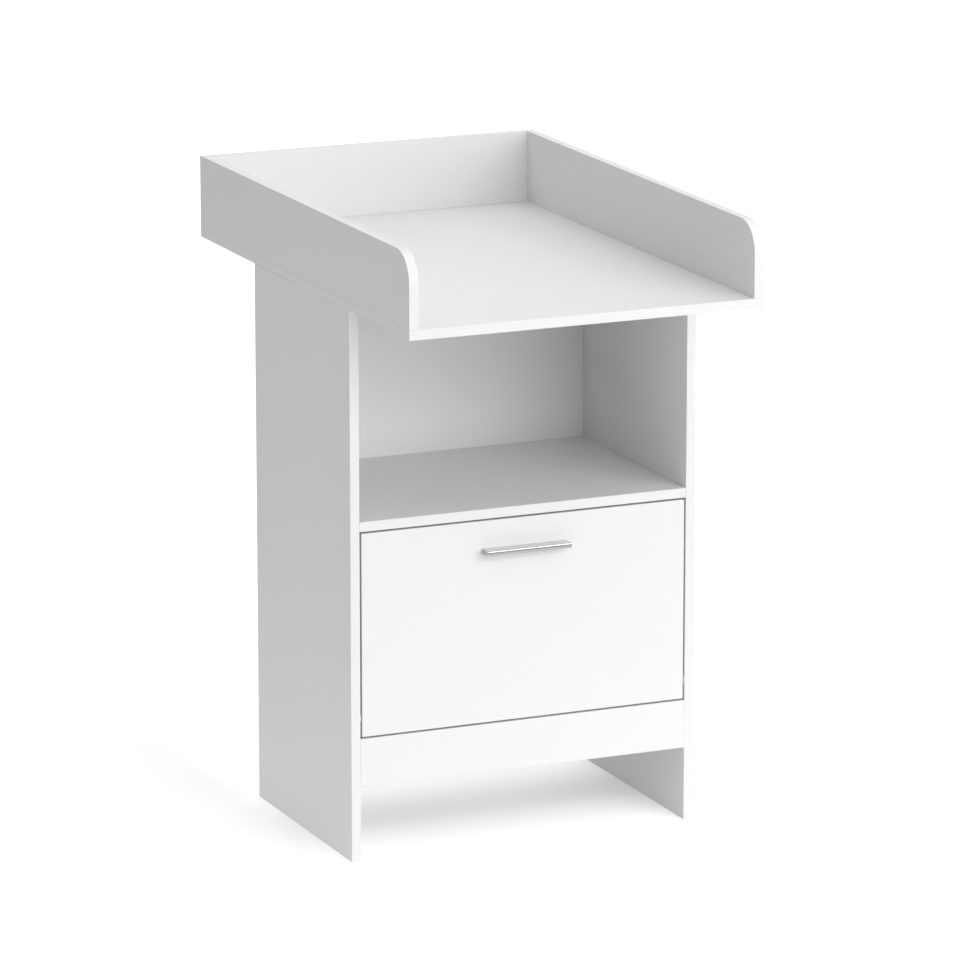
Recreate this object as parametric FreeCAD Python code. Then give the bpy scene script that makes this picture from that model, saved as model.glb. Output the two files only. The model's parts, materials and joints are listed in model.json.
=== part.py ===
# Changing dresser: a cabinet with an open compartment and a drop-down flap, under a changing tray
# that reaches out over its front and back.
#
# Millimetres.  X runs to the right, Y to the back and Z up.  The origin lies on the floor, under
# the middle of the tray.  The flap is drawn closed.  Pieces of the right-hand side are drawn, and
# those of the left-hand side are their mirror images.
import FreeCAD, Part
import math
import os

Vector = FreeCAD.Vector

# ---------------------------------------------------------------- driving dimensions: boards
board = 16.0             # thickness of the coated chipboard
back_sheet = 3.0         # thickness of the hardboard at the back
edge_bevel = 0.6         # bevel of the edges that carry an edge band

# ---------------------------------------------------------------- driving dimensions: cabinet
cabinet_width = 600.0
cabinet_depth = 400.0
cabinet_height = 897.0   # height of the side panels, which stand on the floor
plinth_rise = 122.0      # from the floor to the plinth
plinth_height = 80.0
shelf_rise = 540.0       # from the floor to the underside of the shelf
rebate_width = 8.0       # step in the side panels that takes the back sheet
back_play = 0.5          # play of the back sheet in that step

# ---------------------------------------------------------------- driving dimensions: tray
tray_depth = 880.0
rail_height = 120.0
rail_corner = 50.0       # radius of the side rails' upper front corners

# ---------------------------------------------------------------- driving dimensions: flap
flap_gap = 3.0           # gap all round the flap
pivot_rise = 30.0        # from the flap's lower edge to its pivot pins
pin_diameter = 6.0
pin_in_flap = 20.0
pin_in_bush = 7.0
bush_wall = 2.0
bush_depth = 9.0
bush_flange = 14.0       # diameter of the bush's flange
bush_flange_thick = 1.2
turned_flat_count = 12   # flats that stand for the round outside of a small turned piece

# ---------------------------------------------------------------- driving dimensions: handle
handle_length = 146.0
handle_reach = 22.0      # how far it stands out of the flap
handle_drop = 45.0       # from the flap's upper edge down to the top of the handle
handle_height = 9.0
handle_plate = 2.4       # thickness of its top plate
handle_lip = 4.0         # thickness of its front lip
handle_nose = 3.4        # radius of the upper front edge
handle_foot = 15.0       # length of the solid foot at each end
handle_centres = 128.0   # distance between the handle screws
handle_bevel = 0.4
machine_screw = 4.0      # diameter of the handle screws
machine_head = 8.0
machine_head_thick = 2.4
machine_bite = 9.0       # length of thread inside the handle
machine_play = 0.25      # radial play of the handle screws in the flap

# ---------------------------------------------------------------- driving dimensions: brake stays
stay_inset = 16.0        # from the side panel's inner face to the middle of the rod
stay_reach = 22.0        # from the flap's middle plane to the rod's eye
stay_rise = 178.0        # from the flap's pivot up to the rod's eye
stay_lead = 16.0         # degrees from the eye to the guide, seen from the flap's pivot
open_angle = 90.0        # degrees that the flap drops
rod_diameter = 6.0
eye_diameter = 13.0
eye_thick = 7.0
eye_pin = 5.0
eye_pin_head = 8.0
eye_pin_head_thick = 1.3
eye_pin_play = 0.1       # from the rod's eye to the rivet's head
guide_length = 24.0
guide_width = 14.0
guide_bevel = 2.0
hub_gap = 0.5            # from the guide to its base plate, and from the knob to the guide
stop_flats = 10.0        # width of the stop nut across its flats
stop_length = 6.0
stop_play = 0.3          # what is left between stop and guide when the flap is open
sheet_steel = 2.0        # brackets and base plates
plate_corner = 2.0       # cut corners of the plates
lug_height = 40.0
lug_screw_pitch = 26.0
lug_screw_side = 3.5     # from the rod's middle to the bracket's screws, towards the side panel
ear_gap = 0.4            # from the bracket's ear to the rod's eye
ear_margin = 1.0         # how far the ear reaches past the rod's eye
base_height = 52.0
base_width = 20.0
base_screw_pitch = 38.0
stud_diameter = 6.0
stud_length = 5.8
stud_head = 7.6
stud_head_thick = 1.6
brake_screw = 5.0
brake_head = 9.0
brake_head_thick = 3.5
brake_lining_gap = 0.4

# ---------------------------------------------------------------- driving dimensions: catches
catch_centre = 190.0     # from the middle of the dresser to each catch
catch_width = 34.0
catch_depth = 15.0
catch_height = 14.0
catch_wing = 8.0
catch_wing_thick = 2.5
catch_corner = 2.0
catch_step = 2.0         # how much narrower the screw wings are than the housing, on each side
magnet_wall = 3.0        # housing behind the magnet
magnet_width = 24.0
magnet_height = 8.0
magnet_stand = 0.8
catch_drop = 8.0         # from the shelf's underside to the middle of the magnet
strike_width = 38.0
strike_height = 9.0
strike_thick = 1.2
strike_gap = 0.3
strike_screw_inset = 6.0 # from the plate's end to its screws
strike_screw_length = 12.0

# ---------------------------------------------------------------- driving dimensions: fixings
fixing_play = 0.05       # radial play of pins, dowels and screws in their holes
hole_end_play = 1.0      # depth left at the end of a blind hole
run_out = 1.0            # how far a drill or cutter runs out past a surface
dowel_diameter = 8.0
dowel_in_face = 10.0
dowel_in_edge = 20.0
dowel_setback = 28.0     # from a board's edge to its outer dowels
cam_diameter = 15.0
cam_depth = 12.5
cam_flat_count = 8       # flats that stand for the cam's round drum
cam_reach = 34.0         # from the end of a board to the middle of its cam
cam_setback = 62.0       # from a board's edge to its cams
cam_bolt_thread = 5.0
cam_bolt_in_face = 11.0
cam_bolt_neck = 3.6
cam_bolt_collar = 3.0    # how far the bolt stands out of the face before its neck
cam_bolt_head = 6.8
cam_mouth = 8.1          # hole that the bolt passes through to its cam
joint_screw_head = 10.0
joint_screw_neck = 7.0
joint_screw_core = 5.0
joint_screw_length = 50.0
joint_screw_taper = 1.0  # length over which the neck tapers to the core
joint_screw_sink = 0.3
screw_setback = 70.0     # from a side panel's edge to the screws that hold the tray
overhang_screw = 60.0    # from the cabinet out to the first rail screw
rail_end_screw = 45.0    # from a rail's end to its last screw
rail_dowel_setback = 100.0
back_rail_screw = 190.0
back_rail_dowel = 95.0
corner_dowel_setback = 30.0
plinth_dowel_pitch = 48.0
plinth_tie = 150.0       # from the middle to the dowels between plinth and base
wood_screw = 3.4
wood_screw_head = 6.4
wood_screw_length = 14.0
wood_screw_sink = 0.1    # how far the screw heads lie below the metal
nail_diameter = 1.5
nail_head = 3.2
nail_length = 18.0
nail_head_thick = 0.6
nail_pitch = 230.0       # largest distance between two nails

# ---------------------------------------------------------------- derived places
half_width = cabinet_width / 2
inner_half = half_width - board
front = -cabinet_depth / 2
back = cabinet_depth / 2
back_face = back - back_sheet
base_top = plinth_rise + plinth_height
base_bottom = base_top - board
tray_bottom = cabinet_height
tray_top = tray_bottom + board
rail_top = tray_top + rail_height
tray_front = -tray_depth / 2
tray_back = tray_depth / 2
rail_middle = half_width - board / 2
flap_half = inner_half - flap_gap
flap_bottom = base_top + flap_gap
flap_top = shelf_rise - flap_gap
flap_back = front + board
pivot_y = front + board / 2
pivot_z = flap_bottom + pivot_rise
handle_top = flap_top - handle_drop
catch_z = shelf_rise - catch_drop

# The eye on the flap and the guide on the cabinet lie equally far from the pivot, so that the rod
# always turns half as far as the flap.
stay_radius = math.hypot(stay_reach, stay_rise)
eye_angle = math.degrees(math.atan2(stay_rise, stay_reach))
guide_angle = eye_angle - stay_lead
eye_y = pivot_y + stay_reach
eye_z = pivot_z + stay_rise
guide_y = pivot_y + stay_radius * math.cos(math.radians(guide_angle))
guide_z = pivot_z + stay_radius * math.sin(math.radians(guide_angle))
rod_x = inner_half - stay_inset
rod_way = Vector(0, guide_y - eye_y, guide_z - eye_z).normalize()
rod_up = Vector(0, -rod_way.z, rod_way.y)
open_reach = 2 * stay_radius * math.sin(math.radians((stay_lead + open_angle) / 2))
stop_start = open_reach + guide_length / 2 + stop_play
rod_length = stop_start + stop_length

X = Vector(1, 0, 0)
Y = Vector(0, 1, 0)
Z = Vector(0, 0, 1)


# ---------------------------------------------------------------- basic shapes
def block(x0, x1, y0, y1, z0, z1):
    """Box between two corners."""
    return Part.makeBox(x1 - x0, y1 - y0, z1 - z0, Vector(x0, y0, z0))


def rod(diameter, start, way, length):
    """Cylinder that starts at a point and runs along a direction."""
    return Part.makeCylinder(diameter / 2, length, start, way)


def turned(profile, start, way):
    """Solid of revolution: the profile's points are (radius, distance along the axis)."""
    points = [Vector(radius, 0, height) for radius, height in profile]
    outline = Part.makePolygon(points + points[:1])
    solid = Part.Face(outline).revolve(Vector(0, 0, 0), Z, 360)
    solid = Part.makeSolid(Part.makeShell(solid.Faces)) if solid.ShapeType != "Solid" else solid
    return placed(solid, start, way)


def flatted(profile, start, way, sides=6):
    """Like a turned solid, with flats instead of a round: for hidden fixings and their holes."""
    rings = [ring(radius, height, sides) for radius, height in profile]
    faces = [Part.Face(Part.makePolygon(rings[0] + rings[0][:1])),
             Part.Face(Part.makePolygon(rings[-1] + rings[-1][:1]))]
    for low, high in zip(rings, rings[1:]):
        for turn in range(sides):
            after = (turn + 1) % sides
            corners = [low[turn], low[after], high[after], high[turn], low[turn]]
            faces.append(Part.Face(Part.makePolygon(corners)))
    solid = Part.makeSolid(Part.makeShell(faces))
    if solid.Volume < 0:
        solid.reverse()
    return placed(solid, start, way)


def ring(radius, height, sides):
    """Corners of a regular polygon whose flats touch a circle."""
    reach = radius / math.cos(math.pi / sides)
    angles = [math.pi * (2 * turn + 1) / sides for turn in range(sides)]
    return [Vector(reach * math.cos(angle), reach * math.sin(angle), height) for angle in angles]


def placed(solid, start, way):
    """Stand a solid that was drawn along Z at a point, along a direction."""
    solid.Placement = FreeCAD.Placement(start, FreeCAD.Rotation(Z, way))
    return solid


def ease(solid, way=None):
    """Bevel the edges that run along a direction, or all of them."""
    edges = [edge for edge in solid.Edges if way is None or is_along(edge, way)]
    return solid.makeChamfer(edge_bevel, edges)


def is_along(edge, way):
    """Whether a straight edge runs along a direction."""
    run = edge.Vertexes[-1].Point - edge.Vertexes[0].Point
    return run.cross(way).Length < 0.001 * run.Length


def mirrored(shape):
    """The left-hand twin of a right-hand piece."""
    return shape.mirror(Vector(0, 0, 0), X)


def pair(shape):
    """A right-hand piece and its left-hand twin, as two solids."""
    return [shape, mirrored(shape)]


def cut_all(solid, tools):
    """Take many tools away from one solid."""
    return solid.cut(Part.makeCompound(tools)) if tools else solid


# ---------------------------------------------------------------- fixings and their holes
# Every joint between two boards is written once, as a point on the joint's plane and the direction
# from the board whose face is drilled into the board whose edge is drilled.  Dowels, screws, cams
# and nails have flats, and so have their holes, which keeps the model light.
def drilled(diameter, point, way, depth, sides=6):
    """Drill for a blind hole that starts in a surface and runs into the board."""
    radius = diameter / 2
    return flatted([(radius, -0.01), (radius, depth)], point, way, sides)


def dowel(point, way):
    """Wooden dowel across a joint."""
    radius = dowel_diameter / 2
    return flatted([(radius, -dowel_in_face), (radius, dowel_in_edge)], point, way)


def dowel_face_hole(point, way):
    """Hole for the short end of a dowel, in a board's face."""
    return drilled(dowel_diameter + 2 * fixing_play, point, way * -1, dowel_in_face + hole_end_play)


def dowel_edge_hole(point, way):
    """Hole for the long end of a dowel, in a board's edge."""
    return drilled(dowel_diameter + 2 * fixing_play, point, way, dowel_in_edge + hole_end_play)


def cam_bolt(point, way):
    """Bolt that screws into a board's face, with the head that the cam draws in."""
    thread = cam_bolt_thread / 2
    neck = cam_bolt_neck / 2
    head = cam_bolt_head / 2
    profile = [(thread, -cam_bolt_in_face), (thread, cam_bolt_collar), (neck, cam_bolt_collar),
               (neck, cam_reach - head), (head, cam_reach)]
    return flatted(profile, point, way)


def cam_bolt_face_hole(point, way):
    """Hole for the bolt's thread, in a board's face."""
    diameter = cam_bolt_thread + 2 * fixing_play
    return drilled(diameter, point, way * -1, cam_bolt_in_face + hole_end_play)


def cam_bolt_edge_hole(point, way):
    """Hole that lets the bolt through a board's edge to its cam."""
    return drilled(cam_mouth, point, way, cam_reach)


def cam_centre(point, way, face):
    """Middle of the cam's open end, on the face that it is pressed into."""
    return point + way * cam_reach + face * (board / 2)


def cam_pocket(point, way, face):
    """Pocket for the cam, drilled into a board's face."""
    diameter = cam_diameter + 2 * fixing_play
    return drilled(diameter, cam_centre(point, way, face), face * -1, cam_depth + fixing_play,
                   cam_flat_count)


def cam(point, way, face):
    """Cam housing: a drum with a mouth for the bolt's head."""
    centre = cam_centre(point, way, face)
    radius = cam_diameter / 2
    drum = flatted([(radius, 0), (radius, cam_depth)], centre, face * -1, cam_flat_count)
    return drum.cut(drilled(cam_mouth, point, way, cam_reach + cam_bolt_head / 2))


def joint_screw(point, way):
    """Screw with a sunk head that ties a board's face to another board's edge."""
    head = joint_screw_head / 2
    neck = joint_screw_neck / 2
    core = joint_screw_core / 2
    profile = [(head, joint_screw_sink), (neck, joint_screw_sink + head - neck),
               (neck, board - joint_screw_taper), (core, board), (core, joint_screw_length)]
    return flatted(profile, point, way)


def joint_screw_face_hole(point, way):
    """Countersunk hole for the screw's head and neck, right through the board."""
    mouth = joint_screw_head / 2 + joint_screw_sink + fixing_play
    neck = joint_screw_neck / 2 + fixing_play
    profile = [(mouth, 0), (neck, mouth - neck), (neck, board + 0.01)]
    return flatted(profile, point, way)


def joint_screw_edge_hole(point, way):
    """Pilot hole for the screw's core, in the other board's edge."""
    depth = joint_screw_length - board + hole_end_play
    return drilled(joint_screw_core + 2 * fixing_play, point + way * board, way, depth)


def sunk_screw(point, way, length=wood_screw_length):
    """Countersunk wood screw whose head lies flush in the metal that it holds."""
    head = wood_screw_head / 2
    core = wood_screw / 2
    return flatted([(head, wood_screw_sink), (core, wood_screw_sink + head - core), (core, length)],
                   point, way)


def sunk_hole(point, way, length=wood_screw_length):
    """Countersink and pilot hole for a wood screw."""
    head = wood_screw_head / 2 + fixing_play + wood_screw_sink
    core = wood_screw / 2 + fixing_play
    profile = [(head, 0), (core, head - core), (core, length + hole_end_play)]
    return flatted(profile, point, way)


def nail(point, way):
    """Flat-headed nail, with its head on the surface."""
    head = nail_head / 2
    shank = nail_diameter / 2
    return flatted([(head, -nail_head_thick), (head, 0), (shank, 0), (shank, nail_length)],
                   point, way)


def nail_hole(point, way):
    """Hole that a nail makes for itself."""
    return drilled(nail_diameter + 2 * fixing_play, point, way, nail_length + hole_end_play)


# ---------------------------------------------------------------- where the fixings go
def spread(low, high, pitch):
    """Evenly spaced places from low to high, no further apart than the pitch."""
    steps = max(1, math.ceil((high - low) / pitch))
    return [low + (high - low) * step / steps for step in range(steps + 1)]


def level_joints(height, board_front, board_back):
    """Dowels and cams between a level board and the right-hand side panel."""
    dowels = [(Vector(inner_half, board_front + dowel_setback, height), X * -1),
              (Vector(inner_half, board_back - dowel_setback, height), X * -1)]
    cams = [(Vector(inner_half, board_front + cam_setback, height), X * -1),
            (Vector(inner_half, board_back - cam_setback, height), X * -1)]
    return dowels, cams


shelf_dowels, shelf_cams = level_joints(shelf_rise + board / 2, front, back_face)
base_dowels, base_cams = level_joints(base_top - board / 2, flap_back, back_face)
plinth_middle = plinth_rise + plinth_height / 2
plinth_y = front + board / 2
plinth_cams = [(Vector(inner_half, plinth_y, plinth_middle), X * -1)]
plinth_dowels = [(Vector(inner_half, plinth_y, plinth_middle + side * plinth_dowel_pitch / 2), X * -1)
                 for side in (-1, 1)]
tie_dowels = [(Vector(side * plinth_tie, flap_back, base_top - board / 2), Y) for side in (-1, 1)]

tray_dowels = [(Vector(rail_middle, side * (cabinet_depth / 2 - dowel_setback), tray_bottom), Z * -1)
               for side in (-1, 1)]
tray_screws = [(Vector(rail_middle, side * (cabinet_depth / 2 - screw_setback), tray_top), Z * -1)
               for side in (-1, 1)]
rail_dowels = [(Vector(rail_middle, place, tray_top), Z)
               for place in (tray_front + rail_dowel_setback, tray_back - rail_dowel_setback)]
rail_screws = [(Vector(rail_middle, side * place, tray_bottom), Z) for side in (-1, 1)
               for place in (cabinet_depth / 2 + overhang_screw, tray_depth / 2 - rail_end_screw)]
back_rail_y = tray_back - board / 2
back_rail_dowels = [(Vector(side * back_rail_dowel, back_rail_y, tray_top), Z) for side in (-1, 1)]
back_rail_screws = [(Vector(side * back_rail_screw, back_rail_y, tray_bottom), Z)
                    for side in (-1, 0, 1)]
corner_dowels = [(Vector(inner_half, back_rail_y, height), X * -1)
                 for height in (tray_top + corner_dowel_setback, rail_top - corner_dowel_setback)]

nail_x = inner_half + rebate_width / 2
back_top = tray_bottom - back_play
nail_heights = spread(base_bottom + cam_setback, back_top - cam_setback, nail_pitch)
side_nails = [(Vector(nail_x, back, height), Y * -1) for height in nail_heights]
nail_places = spread(-inner_half + cam_setback, inner_half - cam_setback, nail_pitch)
base_nails = [(Vector(place, back, base_top - board / 2), Y * -1) for place in nail_places]
shelf_nails = [(Vector(place, back, shelf_rise + board / 2), Y * -1) for place in nail_places]

stay_base_heights = [guide_z - base_screw_pitch / 2, guide_z + base_screw_pitch / 2]
stay_base_spots = [(Vector(inner_half - sheet_steel, guide_y, height), X)
                   for height in stay_base_heights]
lug_screw_x = rod_x + lug_screw_side
stay_lug_spots = [(Vector(lug_screw_x, flap_back + sheet_steel, eye_z + side * lug_screw_pitch / 2),
                   Y * -1) for side in (-1, 1)]
catch_front = flap_back + strike_thick + strike_gap + magnet_stand
catch_screw_reach = catch_width / 2 + catch_wing / 2
catch_spots = [(Vector(catch_centre + side * catch_screw_reach, catch_front + catch_depth / 2,
                       shelf_rise - catch_wing_thick), Z) for side in (-1, 1)]
strike_reach = strike_width / 2 - strike_screw_inset
strike_spots = [(Vector(catch_centre + side * strike_reach, flap_back + strike_thick, catch_z), Y * -1)
                for side in (-1, 1)]


def holes(maker, spots, *more):
    """One hole for each spot."""
    return [maker(point, way, *more) for point, way in spots]


def both_sides(tools):
    """Tools of the right-hand side and their left-hand twins."""
    return tools + [mirrored(tool) for tool in tools]


# ---------------------------------------------------------------- cabinet
def side_panel():
    """Right-hand side panel, with the step for the back sheet along its inner back edge."""
    panel = ease(block(inner_half, half_width, front, back, 0, cabinet_height))
    step = block(inner_half - run_out, inner_half + rebate_width, back_face, back + run_out,
                 -run_out, cabinet_height + run_out)
    tools = holes(dowel_face_hole, shelf_dowels + base_dowels + plinth_dowels)
    tools += holes(cam_bolt_face_hole, shelf_cams + base_cams + plinth_cams)
    tools += holes(dowel_edge_hole, tray_dowels)
    tools += holes(joint_screw_edge_hole, tray_screws)
    tools += holes(nail_hole, side_nails)
    tools += holes(sunk_hole, stay_base_spots)
    tools.append(drilled(pin_diameter + 2 * bush_wall + 2 * fixing_play,
                         Vector(inner_half, pivot_y, pivot_z), X, bush_depth + hole_end_play,
                         turned_flat_count))
    return cut_all(panel.cut(step), tools)


def level_board(low, board_front, dowels, cams):
    """Board that lies between the side panels, with its cams in the underside."""
    panel = ease(block(-inner_half, inner_half, board_front, back_face, low, low + board), X)
    tools = holes(dowel_edge_hole, dowels) + holes(cam_bolt_edge_hole, cams)
    tools += holes(cam_pocket, cams, Z * -1)
    return cut_all(panel, both_sides(tools))


def shelf():
    """Shelf of the open compartment; the flap's catches hang under it."""
    panel = level_board(shelf_rise, front, shelf_dowels, shelf_cams)
    return cut_all(panel, both_sides(holes(sunk_hole, catch_spots)) + holes(nail_hole, shelf_nails))


def base_panel():
    """Floor of the flap's compartment, behind the plinth."""
    panel = level_board(base_bottom, flap_back, base_dowels, base_cams)
    return cut_all(panel, holes(dowel_edge_hole, tie_dowels) + holes(nail_hole, base_nails))


def plinth():
    """Board across the front, below the flap; its cams are in its back."""
    panel = ease(block(-inner_half, inner_half, front, flap_back, plinth_rise, base_top), X)
    tools = holes(dowel_edge_hole, plinth_dowels) + holes(cam_bolt_edge_hole, plinth_cams)
    tools += holes(cam_pocket, plinth_cams, Y)
    return cut_all(panel, both_sides(tools) + holes(dowel_face_hole, tie_dowels))


def back_panel():
    """Thin back sheet, in the side panels' steps and against the shelf and the base."""
    half = inner_half + rebate_width - back_play
    sheet = block(-half, half, back_face, back, base_bottom, back_top)
    nails = both_sides(holes(nail_hole, side_nails))
    return cut_all(sheet, nails + holes(nail_hole, base_nails + shelf_nails))


# ---------------------------------------------------------------- tray
def changing_board():
    """Top of the cabinet and floor of the tray."""
    panel = ease(block(-half_width, half_width, tray_front, tray_back, tray_bottom, tray_top))
    tools = holes(dowel_face_hole, tray_dowels + rail_dowels)
    tools += holes(joint_screw_face_hole, tray_screws + rail_screws)
    tools = both_sides(tools)
    tools += holes(dowel_face_hole, back_rail_dowels)
    tools += holes(joint_screw_face_hole, back_rail_screws)
    return cut_all(panel, tools)


def side_rail():
    """Right-hand rail of the tray, with a rounded upper front corner."""
    low_front = Vector(inner_half, tray_front, tray_top)
    low_back = Vector(inner_half, tray_back, tray_top)
    top_back = Vector(inner_half, tray_back, rail_top)
    top_front = Vector(inner_half, tray_front + rail_corner, rail_top)
    front_up = Vector(inner_half, tray_front, rail_top - rail_corner)
    slack = rail_corner * (1 - math.sqrt(0.5))
    middle = Vector(inner_half, tray_front + slack, rail_top - slack)
    outline = Part.Wire([Part.LineSegment(low_front, low_back).toShape(),
                         Part.LineSegment(low_back, top_back).toShape(),
                         Part.LineSegment(top_back, top_front).toShape(),
                         Part.Arc(top_front, middle, front_up).toShape(),
                         Part.LineSegment(front_up, low_front).toShape()])
    rail = ease(Part.Face(outline).extrude(X * board))
    tools = holes(dowel_edge_hole, rail_dowels) + holes(joint_screw_edge_hole, rail_screws)
    return cut_all(rail, tools + holes(dowel_face_hole, corner_dowels))


def back_rail():
    """Rail across the back of the tray, between the side rails."""
    rail = ease(block(-inner_half, inner_half, tray_back - board, tray_back, tray_top, rail_top), X)
    tools = both_sides(holes(dowel_edge_hole, corner_dowels))
    tools += holes(dowel_edge_hole, back_rail_dowels)
    tools += holes(joint_screw_edge_hole, back_rail_screws)
    return cut_all(rail, tools)


# ---------------------------------------------------------------- flap
handle_screw_spots = [(Vector(side * handle_centres / 2, flap_back, handle_top - handle_height / 2),
                       Y * -1) for side in (-1, 1)]


def flap_panel():
    """The flap itself, hung on pins in its side edges."""
    panel = ease(block(-flap_half, flap_half, front, flap_back, flap_bottom, flap_top))
    pin_hole = rod(pin_diameter + 2 * fixing_play, Vector(flap_half, pivot_y, pivot_z), X * -1,
                   pin_in_flap + hole_end_play)
    tools = [pin_hole] + holes(sunk_hole, stay_lug_spots)
    tools += holes(sunk_hole, strike_spots, strike_screw_length)
    bolts = [drilled(machine_screw + 2 * machine_play, point + Y * run_out, way,
                     board + 2 * run_out) for point, way in handle_screw_spots]
    return cut_all(panel, both_sides(tools) + bolts)


def handle_outline(lip_height, closed):
    """Side view of the handle: a hooked plate, or the solid foot that closes its end."""
    x = -handle_length / 2
    tip = front - handle_reach
    low = handle_top - lip_height
    nose = handle_nose * (1 - math.sqrt(0.5))
    start = Vector(x, front, handle_top)
    nose_top = Vector(x, tip + handle_nose, handle_top)
    nose_middle = Vector(x, tip + nose, handle_top - nose)
    nose_front = Vector(x, tip, handle_top - handle_nose)
    edges = [Part.LineSegment(start, nose_top), Part.Arc(nose_top, nose_middle, nose_front)]
    corners = [nose_front, Vector(x, tip, low)]
    if closed:
        corners += [Vector(x, front, low), start]
    else:
        under = handle_top - handle_plate
        corners += [Vector(x, tip + handle_lip, low), Vector(x, tip + handle_lip, under),
                    Vector(x, front, under), start]
    edges += [Part.LineSegment(one, two) for one, two in zip(corners, corners[1:])]
    return Part.Face(Part.Wire([edge.toShape() for edge in edges]))


def handle():
    """Hooked handle plate with a solid foot at each end, tapped for its screws."""
    plate = handle_outline(handle_height, False).extrude(X * handle_length)
    foot = handle_outline(handle_height, True).extrude(X * handle_foot)
    other = foot.copy()
    other.translate(X * (handle_length - handle_foot))
    body = plate.fuse([foot, other]).removeSplitter()
    seat = [edge for edge in body.Edges
            if all(abs(corner.Y - front) < 0.01 for corner in edge.Vertexes)]
    rim = [edge for edge in body.Edges if not any(edge.isSame(other_edge) for other_edge in seat)
           and all(abs(abs(corner.X) - handle_length / 2) < 0.01 for corner in edge.Vertexes)]
    body = body.makeChamfer(handle_bevel, rim)
    taps = [drilled(machine_screw + 2 * fixing_play, Vector(point.x, front, point.z), way,
                    machine_bite + hole_end_play) for point, way in handle_screw_spots]
    return cut_all(body, taps)


def handle_screw(point, way):
    """Machine screw through the flap into the handle."""
    shank = machine_screw / 2
    head = machine_head / 2
    profile = [(head, -machine_head_thick), (head, 0), (shank, 0), (shank, board + machine_bite)]
    return flatted(profile, point, way)


def pivot_pin():
    """Right-hand steel pin, pushed into the flap's edge."""
    length = pin_in_flap + flap_gap + pin_in_bush
    return rod(pin_diameter, Vector(flap_half - pin_in_flap, pivot_y, pivot_z), X, length)


def pivot_bush():
    """Flanged plastic bush in the right-hand side panel, in which the pin turns."""
    start = Vector(inner_half, pivot_y, pivot_z)
    flange = bush_flange / 2
    outer = pin_diameter / 2 + bush_wall
    profile = [(flange, -bush_flange_thick), (flange, 0), (outer, 0), (outer, bush_depth)]
    bore = rod(pin_diameter + 2 * fixing_play, start - X * (bush_flange_thick + run_out), X,
               bush_flange_thick + run_out + pin_in_bush + hole_end_play)
    return flatted(profile, start, X, turned_flat_count).cut(bore)


# ---------------------------------------------------------------- magnetic catches
def catch_housing():
    """Right-hand catch under the shelf: a box with two screw wings and a pocket for the magnet."""
    left = catch_centre - catch_width / 2
    right = catch_centre + catch_width / 2
    far = catch_front + catch_depth
    body = block(left, right, catch_front, far, shelf_rise - catch_height, shelf_rise)
    wings = block(left - catch_wing, right + catch_wing, catch_front + catch_step,
                  far - catch_step, shelf_rise - catch_wing_thick, shelf_rise)
    wings = wings.makeChamfer(catch_corner, [edge for edge in wings.Edges if is_along(edge, Z)])
    return cut_all(body.fuse(wings).removeSplitter(),
                   [magnet_shape(fixing_play)] + holes(sunk_hole, catch_spots))


def magnet_shape(play):
    """Magnet between its pole plates, or, with play, the pocket that it sits in."""
    half = magnet_width / 2 + play
    rise = magnet_height / 2 + play
    return block(catch_centre - half, catch_centre + half, catch_front - magnet_stand,
                 catch_front + catch_depth - magnet_wall + play, catch_z - rise, catch_z + rise)


def strike_plate():
    """Right-hand steel plate on the flap, which the magnet draws in."""
    half = strike_width / 2
    plate = block(catch_centre - half, catch_centre + half, flap_back, flap_back + strike_thick,
                  catch_z - strike_height / 2, catch_z + strike_height / 2)
    plate = plate.makeChamfer(plate_corner, [edge for edge in plate.Edges if is_along(edge, Y)])
    return cut_all(plate, holes(sunk_hole, strike_spots, strike_screw_length))


# ---------------------------------------------------------------- brake stays
ear_inner = rod_x - eye_thick / 2 - ear_gap
ear_outer = ear_inner - sheet_steel


def stay_lug():
    """Right-hand bracket on the flap: a screwed flange and an ear that holds the rod's pin."""
    reach = eye_y - flap_back
    flange = block(ear_outer, lug_screw_x + wood_screw_head, flap_back, flap_back + sheet_steel,
                   eye_z - lug_height / 2, eye_z + lug_height / 2)
    flange = flange.makeChamfer(plate_corner, [edge for edge in flange.Edges if is_along(edge, Y)
                                               and edge.Vertexes[0].X > rod_x])
    tip = eye_diameter / 2 + ear_margin
    foot = lug_height / 2
    bend = Vector(ear_outer, flap_back, eye_z)
    low = bend - Z * foot
    high = bend + Z * foot
    eye = bend + Y * reach
    ear = Part.Wire([Part.LineSegment(low, high).toShape(),
                     Part.LineSegment(high, eye + Z * tip).toShape(),
                     Part.Arc(eye + Z * tip, eye + Y * tip, eye - Z * tip).toShape(),
                     Part.LineSegment(eye - Z * tip, low).toShape()])
    bracket = Part.Face(ear).extrude(X * sheet_steel).fuse(flange).removeSplitter()
    pin_hole = rod(eye_pin + 2 * fixing_play, eye - X * run_out, X, sheet_steel + 2 * run_out)
    return cut_all(bracket, [pin_hole] + holes(sunk_hole, stay_lug_spots))


def stay_pin():
    """Right-hand rivet that carries the rod's eye on the bracket's ear."""
    length = rod_x + eye_thick / 2 + eye_pin_play - ear_outer
    start = Vector(ear_outer, eye_y, eye_z)
    radius = eye_pin_head / 2
    heads = [flatted([(radius, 0), (radius, eye_pin_head_thick)], start + X * place, X, turned_flat_count)
             for place in (-eye_pin_head_thick, length)]
    return rod(eye_pin, start, X, length).fuse(heads)


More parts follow.
